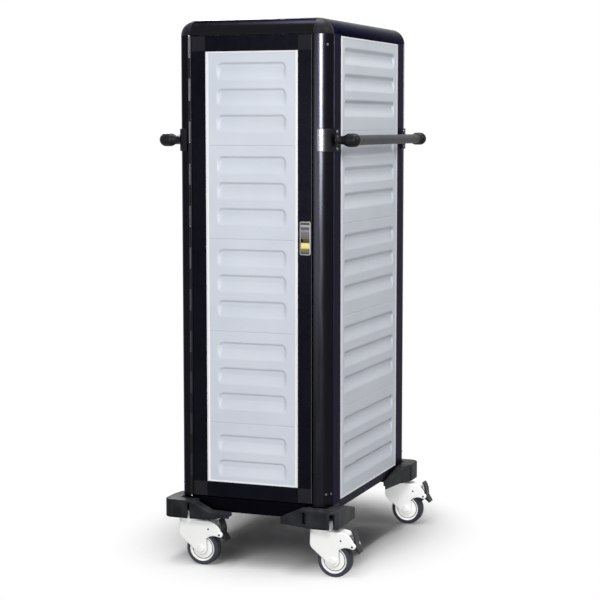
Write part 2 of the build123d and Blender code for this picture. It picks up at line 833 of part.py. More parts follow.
def make_stem():
    """Fixed swivel stem: shank in the bumper boss, bearing pin in the fork head, and a riveted foot."""
    shank_z = head_top_z + 0.4
    shank = rod((0, 0, shank_z), (0, 0, 1), post_foot_z - 4 - shank_z, stem_radius + 3)
    pin = rod((0, 0, stem_foot_z), (0, 0, 1), shank_z - stem_foot_z, stem_radius)
    foot = rod((0, 0, stem_foot_z), (0, 0, 1), 3.3, stem_radius + 4)
    return shank + pin + foot


def bumper_outline(front, side):
    """Plan of a front right bumper: two wings, a round nose and the block under the post."""
    nose = bumper_nose_radius
    out_x = half_width + bumper_reach
    out_y = half_depth + bumper_reach
    face_y = -half_depth - clear_gap
    face_x = half_width + clear_gap
    front_tip = (front["tip"], -half_depth - front["tip_reach"])
    side_tip = (half_width + side["tip_reach"], -side["tip"])
    return make_face(
        [
            Line((front["tip"], face_y), front_tip),
            Line(front_tip, (front["turn"], -out_y)),
            Line((front["turn"], -out_y), (out_x - nose, -out_y)),
            CenterArc((out_x - nose, -out_y + nose), nose, -90, 90),
            Line((out_x, -out_y + nose), (out_x, -side["turn"])),
            Line((out_x, -side["turn"]), side_tip),
            Line(side_tip, (face_x, -side["tip"])),
            Line((face_x, -side["tip"]), (face_x, -bumper_block_y)),
            Line((face_x, -bumper_block_y), (bumper_block_x, -bumper_block_y)),
            Line((bumper_block_x, -bumper_block_y), (bumper_block_x, face_y)),
            Line((bumper_block_x, face_y), (front["tip"], face_y)),
        ]
    )


def wing_waste(wing, sign):
    """Faces above and below one wing, drawn along the cabinet face and upwards."""
    past_tip = sign * (wing["tip"] - 40)
    faces = []
    for line, limit in ((wing["top"], post_foot_z + 40), (wing["foot"], bumper_bottom_z - 40)):
        points = [(sign * along, z) for along, z in line]
        faces.append(polygon((past_tip, line[0][1]), *points, (points[-1][0], limit), (past_tip, limit)))
    return faces


def make_bumper(front, side):
    """Front right corner bumper: moulded cover that slopes down along both wings, hollow below, slotted."""
    bumper = plan_prism(bumper_outline(front, side), bumper_bottom_z, post_foot_z)
    far_x = half_width + bumper_reach / 2
    far_y = -half_depth - bumper_reach / 2
    top_edges = bumper.edges().group_by(Axis.Z)[-1]
    outer = [edge for edge in top_edges if edge.center().X > far_x or edge.center().Y < far_y]
    bumper = chamfer(outer, bumper_edge)
    for face in wing_waste(front, 1):
        bumper = bumper - side_prism(face, -500, -half_depth - 0.2)
    for face in wing_waste(side, -1):
        bumper = bumper - end_prism(face, half_width + 0.2, 400)
    rim = bumper_wall
    out_x = half_width + bumper_reach - rim
    out_y = half_depth + bumper_reach - rim
    room_face = polygon(
        (bumper_block_x + rim, -out_y + 8),
        (out_x - 22, -out_y),
        (out_x - 7, -out_y + 7),
        (out_x, -out_y + 22),
        (out_x, -340),
        (half_width + 18, -bumper_block_y - rim),
        (bumper_block_x + rim, -bumper_block_y - rim),
    )
    bumper = bumper - plan_prism(room_face, 100, post_foot_z - bumper_deck)
    boss_z = head_top_z + 1.5
    bumper = bumper - rod((swivel_x, -swivel_y, 100), (0, 0, 1), boss_z - 100, head_radius + 1.5)
    boss_length = post_foot_z - bumper_deck + 1 - boss_z
    bumper = bumper + rod((swivel_x, -swivel_y, boss_z), (0, 0, 1), boss_length, boss_radius)
    bumper = bumper - rod((swivel_x, -swivel_y, 120), (0, 0, 1), post_foot_z - 4 - 120, stem_radius + 3)
    for place, width, low in front["slots"]:
        x0 = place - width / 2
        bumper = bumper - block(x0, x0 + width, -460, -out_y - rim + slot_depth, low, slot_top_z)
    for place, width, low in side["slots"]:
        y0 = -place - width / 2
        bumper = bumper - block(out_x + rim - slot_depth, 320, y0, y0 + width, low, slot_top_z)
    return bumper


def make_bumpers():
    """Four bumpers from two mouldings, each used on two opposite corners."""
    short = make_bumper(short_front, short_side)
    long = make_bumper(long_front, long_side)
    return [flip_x(long), short, flip_y(flip_x(short)), flip_y(long)]


def make_liner():
    """Right inner wall sheet."""
    front = -post_y + 2 * jamb_wall
    return block(inner_x - liner_thickness, inner_x, front, baffle_y, beam_top_z, rail_z)


def make_runners():
    """Folded runners on the right inner wall that carry the trays."""
    face = inner_x - liner_thickness
    lip = 4.0
    section = polygon(
        (face, 0),
        (face - ledge_reach, 0),
        (face - ledge_reach, -lip),
        (face - ledge_reach + liner_thickness, -lip),
        (face - ledge_reach + liner_thickness, -liner_thickness),
        (face - lip, -liner_thickness),
        (face, -2 * lip),
    )
    front = -post_y + 2 * jamb_wall + 4
    runner = side_prism(section, front, baffle_y - 12)
    return [Pos(0, 0, ledge_first_z + index * ledge_pitch) * runner for index in range(ledge_count)]


def make_baffle():
    """Rear air baffle: fan grille of ring slots, and a column of outlet slots on each side."""
    plate = rect(-inner_x + liner_thickness, inner_x - liner_thickness, beam_top_z, rail_z)
    for index in range(ledge_count):
        z = ledge_first_z + 40 + index * ledge_pitch
        for x in (-outlet_x, outlet_x):
            plate = plate - Pos(x, z) * SlotOverall(outlet_length, outlet_height)
    bars = Rectangle(10, 250) + Rectangle(250, 10)
    for ring in grille_rings:
        band = Circle(ring + grille_slot / 2) - Circle(ring - grille_slot / 2)
        plate = plate - Pos(0, fan_z) * (band - bars)
    return side_prism(plate, baffle_y, baffle_y + liner_thickness)


def make_fan_motor():
    """Fan motor on the rear wall, with its shaft towards the front."""
    can = rod((0, fan_y, fan_z), (0, 1, 0), inner_y - fan_y, motor_radius)
    can = chamfer(can.edges().sort_by(Axis.Y)[0], 5.0)
    flange = rod((0, inner_y - 4, fan_z), (0, 1, 0), 4, motor_radius + 14)
    shaft = rod((0, fan_y - 46, fan_z), (0, 1, 0), 50, shaft_radius)
    return can + flange + shaft


def make_fan_impeller():
    """Radial fan wheel: back disc, front ring and curved blades between them."""
    back_y = fan_y - 10
    disc = rod((0, back_y - 2, fan_z), (0, 1, 0), 2, fan_radius)
    hub = rod((0, back_y - 22, fan_z), (0, 1, 0), 22, 14.0)
    ring = rod((0, back_y - 30, fan_z), (0, 1, 0), 2, fan_radius) - rod(
        (0, back_y - 31, fan_z), (0, 1, 0), 4, fan_radius - 26
    )
    wheel = disc + hub + ring
    outer_r = fan_radius - 2
    bend = Pos(fan_radius - 20, 22) * (Circle(30) - Circle(28))
    blade_face = bend & (Circle(outer_r) - Circle(fan_radius - 30)) & rect(0, 100, -50, 22)
    for index in range(blade_count):
        turned = Pos(0, fan_z) * Rot(0, 0, index * 360 / blade_count) * blade_face
        wheel = wheel + side_prism(turned, back_y - 29, back_y - 1)
    bore = rod((0, back_y - 40, fan_z), (0, 1, 0), 60, shaft_radius + running_gap)
    return wheel - bore


def make_heating_element():
    """Tubular ring heaters around the fan, each with two legs into the rear wall."""
    pieces = []
    for y, leg_x in heater_rings:
        loop = Pos(0, y, fan_z) * Rot(90, 0, 0) * Torus(heater_radius, heater_tube)
        drop = math.sqrt(heater_radius**2 - leg_x**2)
        for x in (-leg_x, leg_x):
            loop = loop + rod((x, y, fan_z - drop), (0, 1, 0), inner_y - y, heater_tube - 1)
        pieces.append(loop)
    return pieces


def make_service_panel():
    """Rear service panel: a folded pan with air louvres, and cut-outs for inlet, switch and thermostat."""
    back = half_depth - panel_setback
    z1 = side_panel_z + module_height
    outer = rect(-post_x, post_x, beam_top_z, z1)
    pan = side_prism(outer, inner_y, back)
    t = service_thickness
    room = rect(-post_x + t, post_x - t, beam_top_z + t, z1 - t)
    pan = pan - side_prism(room, inner_y - 1, back - t)
    for index in range(louvre_count):
        z = louvre_first_z + index * louvre_pitch
        for x in (-louvre_x, louvre_x):
            slot = Pos(x, z) * SlotOverall(louvre_length, louvre_height)
            pan = pan - side_prism(slot, back - 10, back + 1)
    cutouts = Pos(inlet_x, service_z) * Rectangle(46, 34)
    cutouts = cutouts + Pos(switch_x, service_z) * Rectangle(22, 30)
    cutouts = cutouts + Pos(knob_x, service_z) * Circle(6)
    return pan - side_prism(cutouts, back - 10, back + 1)


def make_inlet():
    """Recessed power inlet with three blades."""
    back = half_depth - panel_setback
    flange = side_prism(Pos(inlet_x, service_z) * RectangleRounded(62, 44, 4), back, back + 2)
    shell = side_prism(Pos(inlet_x, service_z) * Rectangle(46, 34), back - 24, back)
    room_face = Pos(inlet_x, service_z) * RectangleRounded(36, 25, 5)
    inlet = flange + shell - side_prism(room_face, back - 20, back + 3)
    for x, z in ((-9, -3), (9, -3), (0, 5)):
        blade_face = Pos(inlet_x + x, service_z + z) * Rectangle(2.2, 7)
        inlet = inlet + side_prism(blade_face, back - 21, back - 4)
    return inlet


def make_switch():
    """Switch frame, and a rocker that rests with its lower half pressed in."""
    back = half_depth - panel_setback
    outer = Pos(switch_x, service_z) * RectangleRounded(30, 38, 3)
    neck = Pos(switch_x, service_z) * Rectangle(22, 30)
    window = Pos(switch_x, service_z) * Rectangle(18, 26)
    frame = side_prism(outer, back, back + 2) + side_prism(neck, back - 16, back)
    frame = frame - side_prism(window, back - 13, back + 3)
    rocker_face = polygon((-6, -11.5), (2.5, -11.5), (0.5, 0), (2.5, 11.5), (-6, 11.5), (-8, 0))
    rocker = end_prism(rocker_face, -8.6, 8.6)
    tilt = Rot(switch_tilt_deg, 0, 0)
    return frame, Pos(switch_x, back, service_z) * tilt * rocker


def make_knob():
    """Thermostat knob with a grip bar and a pointer notch, and its dial plate and shaft bush."""
    back = half_depth - panel_setback
    plate = side_prism(Pos(knob_x, service_z) * Circle(27), back, back + 1)
    bush = rod((knob_x, back - 12, service_z), (0, 1, 0), 12, 6.0)
    hole = rod((knob_x, back - 13, service_z), (0, 1, 0), 20, 3.0 + running_gap)
    base = rod((knob_x, back + 1.4, service_z), (0, 1, 0), 6, 18.0)
    base = chamfer(base.edges().sort_by(Axis.Y)[-1], 2.0)
    bar = side_prism(Pos(knob_x, service_z) * RectangleRounded(9, 35, 3), back + 6, back + 15)
    notch = block(knob_x - 0.8, knob_x + 0.8, back + 14, back + 16, service_z + 6, service_z + 20)
    shaft = rod((knob_x, back - 10, service_z), (0, 1, 0), 13, 3.0)
    return plate + bush - hole, base + bar - notch + shaft


def make_post_screws():
    """Small screws near the top and foot of the front right post."""
    screws = []
    for angle, z in screw_places:
        a = math.radians(angle)
        direction = (math.sin(a), -math.cos(a), 0)
        seat = corner_radius - 1
        start = (post_x + seat * direction[0], -post_y + seat * direction[1], z)
        head = rod(start, direction, screw_rise + 1, screw_radius)
        screws.append(chamfer(head.edges().sort_by(Axis(start, direction))[-1], 0.6))
    return screws


def save_castors():
    """Four swivel castors, all trailing towards the right."""
    fork = make_fork()
    pins = make_castor_pins()
    rim, tyre = make_wheel()
    pedal = make_pedal()
    stems = []
    for end, y in (("front", -swivel_y), ("rear", swivel_y)):
        for side, x in (("left", -swivel_x), ("right", swivel_x)):
            place = Pos(x, y, 0)
            corner = f"{end}_{side}"
            save(f"castor_fork_{corner}", place * fork)
            save(f"castor_pins_{corner}", *[place * pin for pin in pins])
            save(f"castor_wheel_{corner}", place * rim)
            save(f"castor_tyre_{corner}", place * tyre)
            save(f"castor_brake_pedal_{corner}", place * pedal)
            stems.append(place * make_stem())
    save("castor_stems", *stems)


def save_cabinet():
    """Fixed outer shell of the trolley."""
    posts = make_posts()
    posts[1] = posts[1] - strike_hole() - strike_plate(post_x - 1)
    save("corner_posts", *posts)
    save("top_rails", *make_top_rails())
    save("top_corner_caps", *make_top_caps())
    save("top_panel", make_top_panel())
    save("base_beams", *make_base())
    save("floor_pan", make_floor())
    left_panels, right_panels = make_side_panels()
    save("left_wall_panels", *left_panels)
    save("right_wall_panels", *right_panels)
    save("rear_wall_panels", *make_rear_panels())
    save("door_seat_frame", *make_door_seat())
    save("latch_strike", make_strike())
    save("corner_bumpers", *make_bumpers())
    screws = []
    for screw in make_post_screws():
        screws.extend(at_four_corners(screw))
    for bolt in make_bracket_bolts():
        screws.extend(at_four_corners(bolt))
    save("post_screws", *screws)


def save_handles():
    """Two push handles with their elbows and brackets."""
    grip = make_grip()
    save("handle_grips", grip, flip_x(grip))
    save("handle_elbows", *at_four_corners(make_handle_elbow()))
    save("handle_brackets", *at_four_corners(make_handle_bracket()))


def save_door():
    """Door, its hinge and its latch."""
    save("door_frame_profiles", *make_door_frame())
    save("door_corner_pieces", *make_door_corners())
    save("door_panels", *make_door_panels())
    save("door_inner_skin", make_door_inner_skin())
    save("door_seal", make_door_seal())
    frame_leaf, door_leaf, pin = make_hinge()
    save("hinge_frame_leaf", frame_leaf)
    save("hinge_door_leaf", door_leaf)
    save("hinge_pin", pin)
    housing, pull, pull_pin, slide, bolt = make_latch()
    save("latch_housing", housing, pull_pin)
    save("latch_pull", pull)
    save("latch_lock_slide", slide)
    save("latch_bolt", bolt)


def save_inside():
    """Tray walls, air baffle, fan, heater and the rear service panel."""
    liner = make_liner()
    runners = make_runners()
    save("inner_wall_liners", liner, flip_x(liner))
    save("tray_runners", *runners, *[flip_x(runner) for runner in runners])
    save("rear_air_baffle", make_baffle())
    save("fan_motor", make_fan_motor())
    save("fan_impeller", make_fan_impeller())
    save("heating_elements", *make_heating_element())
    save("service_panel", make_service_panel())
    save("power_inlet", make_inlet())
    frame, rocker = make_switch()
    dial, knob = make_knob()
    save("control_bezels", frame, dial)
    save("switch_rocker", rocker)
    save("thermostat_knob", knob)


def main():
    os.makedirs("parts", exist_ok=True)
    save_cabinet()
    save_handles()
    save_door()
    save_inside()
    save_castors()


if __name__ == "__main__":
    main()
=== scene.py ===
import bmesh
import bpy
import json
import math
import numpy as np
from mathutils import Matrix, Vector


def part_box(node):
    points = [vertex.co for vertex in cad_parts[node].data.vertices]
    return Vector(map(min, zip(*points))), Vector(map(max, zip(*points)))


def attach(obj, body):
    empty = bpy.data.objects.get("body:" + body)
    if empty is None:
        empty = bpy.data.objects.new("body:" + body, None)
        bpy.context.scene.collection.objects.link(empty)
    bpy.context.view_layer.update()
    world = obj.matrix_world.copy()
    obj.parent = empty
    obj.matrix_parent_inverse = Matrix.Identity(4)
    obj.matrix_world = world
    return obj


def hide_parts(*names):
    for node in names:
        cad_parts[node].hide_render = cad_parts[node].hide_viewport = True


# Heated food trolley, door towards -Y; its pieces are in millimetres, camera, floor and lamps in metres
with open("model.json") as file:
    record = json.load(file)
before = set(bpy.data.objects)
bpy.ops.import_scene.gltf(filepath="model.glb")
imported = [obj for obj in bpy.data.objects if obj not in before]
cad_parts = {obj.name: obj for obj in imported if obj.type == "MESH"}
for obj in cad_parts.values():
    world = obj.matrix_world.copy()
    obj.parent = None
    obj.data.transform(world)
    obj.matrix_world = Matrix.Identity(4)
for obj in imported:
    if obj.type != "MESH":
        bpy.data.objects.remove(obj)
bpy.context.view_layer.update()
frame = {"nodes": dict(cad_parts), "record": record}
nodes = frame["nodes"]
castorCorners = ("front_left", "front_right", "rear_left", "rear_right")
millimetre = 0.001
print("frame loaded:", len(nodes), "nodes")

# Camera of the photograph
cameraSpec = {
    "place": (1.82437, -4.85574, 1.27994),
    "yaw": 20.526,
    "pitch": 5.838,
    "lens": 102.58,
    "sensor": 36.0,
}


def makeCamera():
    data = bpy.data.cameras.new("photoCamera")
    data.sensor_width = cameraSpec["sensor"]
    data.lens = cameraSpec["lens"]
    camera = bpy.data.objects.new("photoCamera", data)
    camera.location = cameraSpec["place"]
    tilt = math.radians(90 - cameraSpec["pitch"])
    camera.rotation_euler = (tilt, 0, math.radians(cameraSpec["yaw"]))
    bpy.context.scene.collection.objects.link(camera)
    bpy.context.scene.camera = camera


makeCamera()
print("camera set")


# Node helpers for the finishes; noise mostly lies within this span
noiseSpan = (0.3, 0.7)


def addNode(tree, kind, **sockets):
    node = tree.nodes.new(kind)
    for name, value in sockets.items():
        node.inputs[name].default_value = value
    return node


def joinNodes(tree, source, target):
    tree.links.new(source, target)


def objectCoords(tree, stretch=(1, 1, 1)):
    coords = tree.nodes.new("ShaderNodeTexCoord")
    mapping = addNode(tree, "ShaderNodeMapping", Scale=stretch)
    joinNodes(tree, coords.outputs["Object"], mapping.inputs["Vector"])
    return mapping.outputs["Vector"]


def noiseField(tree, vector, scale, detail=3.0):
    node = addNode(tree, "ShaderNodeTexNoise", Scale=scale, Detail=detail)
    joinNodes(tree, vector, node.inputs["Vector"])
    return node.outputs["Fac"]


def remapped(tree, value, low, high, fromLow=0.0, fromHigh=1.0):
    node = tree.nodes.new("ShaderNodeMapRange")
    node.inputs["From Min"].default_value = fromLow
    node.inputs["From Max"].default_value = fromHigh
    node.inputs["To Min"].default_value = low
    node.inputs["To Max"].default_value = high
    joinNodes(tree, value, node.inputs["Value"])
    return node.outputs["Result"]


def combined(tree, operation, first, second):
    node = tree.nodes.new("ShaderNodeMath")
    node.operation = operation
    joinNodes(tree, first, node.inputs[0])
    joinNodes(tree, second, node.inputs[1])
    return node.outputs["Value"]


def toneRamp(tree, value, dark, light):
    node = tree.nodes.new("ShaderNodeValToRGB")
    first, last = node.color_ramp.elements
    first.position, first.color = noiseSpan[0], (*dark, 1)
    last.position, last.color = noiseSpan[1], (*light, 1)
    joinNodes(tree, value, node.inputs["Fac"])
    return node.outputs["Color"]


def bumpOn(tree, shader, height, strength, distance):
    node = addNode(tree, "ShaderNodeBump", Strength=strength, Distance=distance)
    joinNodes(tree, height, node.inputs["Height"])
    joinNodes(tree, node.outputs["Normal"], shader.inputs["Normal"])


def grainedFinish(name, look):
    # a shader with roughness and bump from a fine grain, and its colour still to come
    material = bpy.data.materials.new(name)
    material.use_nodes = True
    tree = material.node_tree
    shader = tree.nodes["Principled BSDF"]
    grain = noiseField(tree, objectCoords(tree, look["stretch"]), look["grain"], 2.0)
    low, high = look["rough"]
    joinNodes(tree, remapped(tree, grain, low, high, *noiseSpan), shader.inputs["Roughness"])
    bumpOn(tree, shader, grain, look["bump"], look["depth"])
    shader.inputs["Metallic"].default_value = look["metal"]
    shader.inputs["Specular IOR Level"].default_value = look["specular"]
    shader.inputs["Specular Tint"].default_value = (*look["tint"], 1)
    return material, tree, shader.inputs["Base Color"]


def plainFinish(name, look):
    # two tones mixed by a broad cloud
    material, tree, colour = grainedFinish(name, look)
    cloud = noiseField(tree, objectCoords(tree, look["stretch"]), look["cloud"], 4.0)
    joinNodes(tree, toneRamp(tree, cloud, look["dark"], look["light"]), colour)
    return material


def bandedFinish(name, look):
    # the colour changes along one axis, Z unless named
    material, tree, colour = grainedFinish(name, look)
    axes = tree.nodes.new("ShaderNodeSeparateXYZ")
    joinNodes(tree, objectCoords(tree), axes.inputs["Vector"])
    low, high = look["bands"][0][0], look["bands"][-1][0]
    along = axes.outputs[look.get("axis", "Z")]
    share = remapped(tree, along, 0.0, 1.0, low * millimetre, high * millimetre)
    ramp = tree.nodes.new("ShaderNodeValToRGB")
    stops = ramp.color_ramp.elements
    for level, tone in look["bands"][1:-1]:
        stops.new((level - low) / (high - low)).color = (*tone, 1)
    stops[0].color, stops[-1].color = (*look["bands"][0][1], 1), (*look["bands"][-1][1], 1)
    joinNodes(tree, share, ramp.inputs["Fac"])
    joinNodes(tree, ramp.outputs["Color"], colour)
    return material


# Colours are linear; grain and cloud are in cycles per metre, a bump's depth in metres
plainLook = {"stretch": (1, 1, 1), "cloud": 7.0, "bump": 0.2, "depth": 0.0003, "metal": 0.0, "specular": 0.5,
             "tint": (1, 1, 1)}
anodised = {"bump": 0.015, "depth": 0.0001, "metal": 1.0}
finishes = {
    "frameBlack": {"dark": (0.0072, 0.0073, 0.0092), "light": (0.0098, 0.01, 0.0125), "rough": (0.2, 0.26),
                   "grain": 30.0, "cloud": 2.0, "stretch": (4, 4, 0.25), "tint": (0.5, 0.5, 0.56),
                   **anodised},
    "railBlack": {"dark": (0.011, 0.0112, 0.0138), "light": (0.0142, 0.0145, 0.0175), "rough": (0.2, 0.26),
                  "grain": 30.0, "cloud": 2.0, "tint": (0.4, 0.4, 0.45), **anodised},
    "bandBlack": {"dark": (0.006, 0.0062, 0.009), "light": (0.009, 0.0093, 0.013), "rough": (0.3, 0.4),
                  "grain": 60.0, "cloud": 2.0, "stretch": (4, 4, 0.25), "tint": (0.49, 0.48, 0.54),
                  **anodised},
    "beamBlack": {"dark": (0.0018, 0.0019, 0.0034), "light": (0.0028, 0.003, 0.005), "rough": (0.24, 0.32),
                  "grain": 40.0, "cloud": 3.0, "stretch": (0.4, 4, 0.4), "tint": (0.54, 0.54, 0.58),
                  **anodised},
    "cornerPlastic": {"dark": (0.009, 0.009, 0.012), "light": (0.014, 0.014, 0.018), "rough": (0.38, 0.5),
                      "grain": 900.0, "depth": 0.0002, "specular": 0.08},
    "pieceGrey": {"dark": (0.011, 0.0115, 0.0155), "light": (0.016, 0.0165, 0.021), "rough": (0.38, 0.5),
                  "grain": 900.0, "depth": 0.0002, "specular": 0.06},
    "panelGrey": {"dark": (0.60, 0.64, 0.715), "light": (0.655, 0.695, 0.765), "rough": (0.36, 0.50),
                  "grain": 700.0, "cloud": 5.0, "bump": 0.12, "depth": 0.0002},
    "bumperBlack": {"dark": (0.006, 0.0067, 0.0078), "light": (0.0165, 0.0175, 0.0195),
                    "rough": (0.34, 0.5), "grain": 500.0, "cloud": 24.0, "bump": 0.3, "specular": 0.03},
    # painted shade for the inside of the bumper slots
    "slotPaintedShade": {"dark": (0.002, 0.002, 0.003), "light": (0.004, 0.004, 0.005), "rough": (0.6, 0.8),
                  "grain": 800.0, "bump": 0.3, "specular": 0.02},
    "innerSteel": {"dark": (0.42, 0.43, 0.45), "light": (0.5, 0.51, 0.53), "rough": (0.46, 0.6),
                   "grain": 90.0, "stretch": (1, 1, 14), "bump": 0.04, "depth": 0.0002, "metal": 0.35},
    "serviceGrey": {"dark": (0.045, 0.045, 0.052), "light": (0.06, 0.06, 0.068), "rough": (0.4, 0.55),
                    "grain": 1100.0, "bump": 0.3, "depth": 0.0002},
    "platedSteel": {"dark": (0.5, 0.5, 0.52), "light": (0.66, 0.66, 0.68), "rough": (0.18, 0.3),
                    "grain": 500.0, "bump": 0.05, "metal": 1.0},
    "hingeDark": {"dark": (0.007, 0.007, 0.009), "light": (0.012, 0.012, 0.014), "rough": (0.3, 0.4),
                  "grain": 120.0, "stretch": (1, 1, 0.2), "bump": 0.05, "specular": 0.08},
    "boltGrey": {"dark": (0.1, 0.1, 0.105), "light": (0.16, 0.16, 0.165), "rough": (0.25, 0.36),
                 "grain": 600.0, "bump": 0.05, "metal": 1.0},
    "bracketBlack": {"dark": (0.014, 0.014, 0.016), "light": (0.022, 0.022, 0.025), "rough": (0.22, 0.3),
                     "grain": 600.0, "bump": 0.08, "metal": 1.0, "tint": (0.5, 0.5, 0.55)},
    "doorBlack": {"dark": (0.0042, 0.0044, 0.0072), "light": (0.0068, 0.007, 0.011), "rough": (0.24, 0.32),
                  "grain": 40.0, "cloud": 5.0, "tint": (0.5, 0.5, 0.58), **anodised},
    "handleBlack": {"dark": (0.006, 0.006, 0.008), "light": (0.010, 0.010, 0.012), "rough": (0.3, 0.42),
                    "grain": 900.0, "bump": 0.15, "specular": 0.12},
    "gripGrey": {"dark": (0.024, 0.025, 0.029), "light": (0.036, 0.037, 0.041), "rough": (0.45, 0.6),
                 "grain": 1500.0, "bump": 0.45, "specular": 0.15},
    "sealRubber": {"dark": (0.012, 0.012, 0.013), "light": (0.02, 0.02, 0.021), "rough": (0.55, 0.75),
                   "grain": 700.0, "bump": 0.3},
    "motorMetal": {"dark": (0.45, 0.46, 0.48), "light": (0.58, 0.59, 0.6), "rough": (0.3, 0.45),
                   "grain": 300.0, "bump": 0.1, "metal": 1.0},
    "heaterMetal": {"dark": (0.09, 0.075, 0.065), "light": (0.2, 0.16, 0.13), "rough": (0.35, 0.5),
                    "grain": 200.0, "cloud": 12.0, "bump": 0.1, "metal": 0.9},
    "controlBlack": {"dark": (0.01, 0.01, 0.011), "light": (0.016, 0.016, 0.018), "rough": (0.28, 0.4),
                     "grain": 900.0, "bump": 0.15},
    "castorWhite": {"dark": (0.9, 0.9, 0.89), "light": (0.94, 0.94, 0.93), "rough": (0.26, 0.38),
                    "grain": 400.0, "cloud": 14.0, "bump": 0.08},
    "tyreGrey": {"dark": (0.04, 0.045, 0.056), "light": (0.06, 0.066, 0.08), "rough": (0.5, 0.68),
                 "grain": 600.0, "bump": 0.25, "specular": 0.15},
    # white for the strips painted as the lit edges of the panels: painted highlight
    "edgeHighlightWhite": {"dark": (0.83, 0.84, 0.86), "light": (0.88, 0.89, 0.9), "rough": (0.3, 0.42),
                    "grain": 500.0, "bump": 0.08},
    # a dark grey a little lighter than the door stile, for the painted highlight on the door's free edge
    "edgeLineHighlight": {"dark": (0.028, 0.028, 0.034), "light": (0.045, 0.045, 0.052), "rough": (0.3, 0.4),
                   "grain": 80.0, "stretch": (1, 1, 0.2), "bump": 0.05, "specular": 0.2},
    "pedalBlack": {"dark": (0.014, 0.0145, 0.017), "light": (0.026, 0.027, 0.03), "rough": (0.35, 0.5),
                   "grain": 700.0, "specular": 0.12},
}
# a band is a place along the axis and its colour
bandedFinishes = {
    # the pull's lighter bands are painted highlights and its darker bands painted shade
    "latchPullPaintedLight": {"rough": (0.3, 0.4), "grain": 300.0, "metal": 0.5, "bands": (
        (962.7, (0.09, 0.08, 0.05)), (972.0, (0.13, 0.12, 0.12)), (983.0, (0.15, 0.145, 0.15)),
        (984.5, (0.26, 0.26, 0.28)), (987.0, (0.26, 0.26, 0.28)), (988.5, (0.075, 0.075, 0.085)),
        (996.0, (0.09, 0.09, 0.1)), (997.5, (0.27, 0.27, 0.29)), (1001.5, (0.25, 0.25, 0.27)),
        (1003.0, (0.1, 0.1, 0.11)), (1004.7, (0.1, 0.1, 0.11)))},
    # the frame's lighter front rim is a painted highlight, the darker depth behind it painted shade
    "latchFramePaintedLight": {"axis": "Y", "rough": (0.25, 0.36), "grain": 600.0, "bump": 0.05, "metal": 1.0, "bands": (
        (-379.5, (0.24, 0.24, 0.26)), (-378.0, (0.2, 0.2, 0.22)), (-377.7, (0.06, 0.055, 0.035)),
        (-364.5, (0.05, 0.045, 0.03)))},
    # the hinge bands are painted light: darker towards the bottom and lighter towards the top, where the top
    # lamp falls
    "hingeSilverPaintedShade": {"rough": (0.25, 0.4), "grain": 90.0, "stretch": (1, 1, 0.3), "bump": 0.05,
                    "metal": 0.9, "bands": (
        (209.0, (0.016, 0.016, 0.018)), (700.0, (0.03, 0.03, 0.033)), (1100.0, (0.05, 0.05, 0.055)),
        (1400.0, (0.1, 0.1, 0.105)), (1530.5, (0.11, 0.11, 0.115)))},
    # the slide's own yellow, with painted shade at its darker lower and upper ends and a painted highlight
    # in its bright middle
    "latchYellowPaintedLight": {"rough": (0.3, 0.42), "grain": 400.0, "bands": (
        (924.3, (0.11, 0.095, 0.035)), (934.5, (0.17, 0.145, 0.05)), (937.5, (0.84, 0.72, 0.2)),
        (944.0, (0.9, 0.83, 0.36)), (950.5, (0.86, 0.75, 0.22)), (952.3, (0.35, 0.28, 0.06)))},
}
slotFinish = {
    "frame_black": "frameBlack", "corner_plastic": "cornerPlastic", "panel_grey": "panelGrey",
    "bumper_black": "bumperBlack", "inner_steel": "innerSteel", "service_grey": "serviceGrey",
    "hardware_steel": "platedSteel", "hinge_dark": "hingeDark", "latch_silver": "latchFramePaintedLight",
    "latch_yellow": "latchYellowPaintedLight", "handle_black": "handleBlack", "grip_grey": "gripGrey",
    "seal_rubber": "sealRubber", "motor_metal": "motorMetal", "heater_metal": "heaterMetal",
    "control_black": "controlBlack", "castor_white": "castorWhite", "tyre_grey": "tyreGrey",
    "pedal_black": "pedalBlack",
}
slotOf = {finish: slot for slot, finish in slotFinish.items()}
slotOf.update({"railBlack": "frame_black", "edgeHighlightWhite": "panel_grey", "edgeLineHighlight": "frame_black",
               "boltGrey": "hardware_steel", "bracketBlack": "handle_black"})
nodeFinish = {"base_beams": "beamBlack", "door_frame_profiles": "doorBlack", "latch_pull": "latchPullPaintedLight",
              "hinge_door_leaf": "hingeSilverPaintedShade", "door_corner_pieces": "pieceGrey"}
materials = {name: plainFinish(name, plainLook | look) for name, look in finishes.items()}
materials.update({name: bandedFinish(name, plainLook | look) for name, look in bandedFinishes.items()})
for part in frame["record"]["subparts"]:
    slots = nodes[part["node"]].data.materials
    slots.clear()
    slots.append(materials[nodeFinish.get(part["node"], slotFinish[part["material_slot"]])])
print("finishes on every node:", len(materials), "materials")

# Mesh helpers: weld and sliver are in metres, crease in degrees, hold in millimetres
meshSpec = {"weld": 0.000004, "sliver": 0.000002, "crease": 32.0, "hold": 0.3, "cornerShare": 0.48}


def gridFaces(rows, cols, wrapRows, wrapCols):
    # quads between neighbouring grid points, joined round where the grid wraps
    i, j = np.meshgrid(np.arange(rows if wrapRows else rows - 1),
                       np.arange(cols if wrapCols else cols - 1), indexing="ij")
    down, right = (i + 1) % rows, (j + 1) % cols
    quads = np.stack([i * cols + j, i * cols + right, down * cols + right, down * cols + j], -1)
    return quads.reshape(-1, 4)


def sheet(points, wrapRows=False, wrapCols=False, capRows=False, capCols=False):
    # one surface as a grid of points, with flat caps over its first and last rows or columns
    points = np.asarray(points, float)
    rows, cols = points.shape[:2]
    order = np.arange(rows * cols).reshape(rows, cols)
    caps = []
    if capRows:
        caps += [order[0], order[-1]]
    if capCols:
        caps += [order[:, 0], order[:, -1]]
    return points.reshape(-1, 3), gridFaces(rows, cols, wrapRows, wrapCols), caps


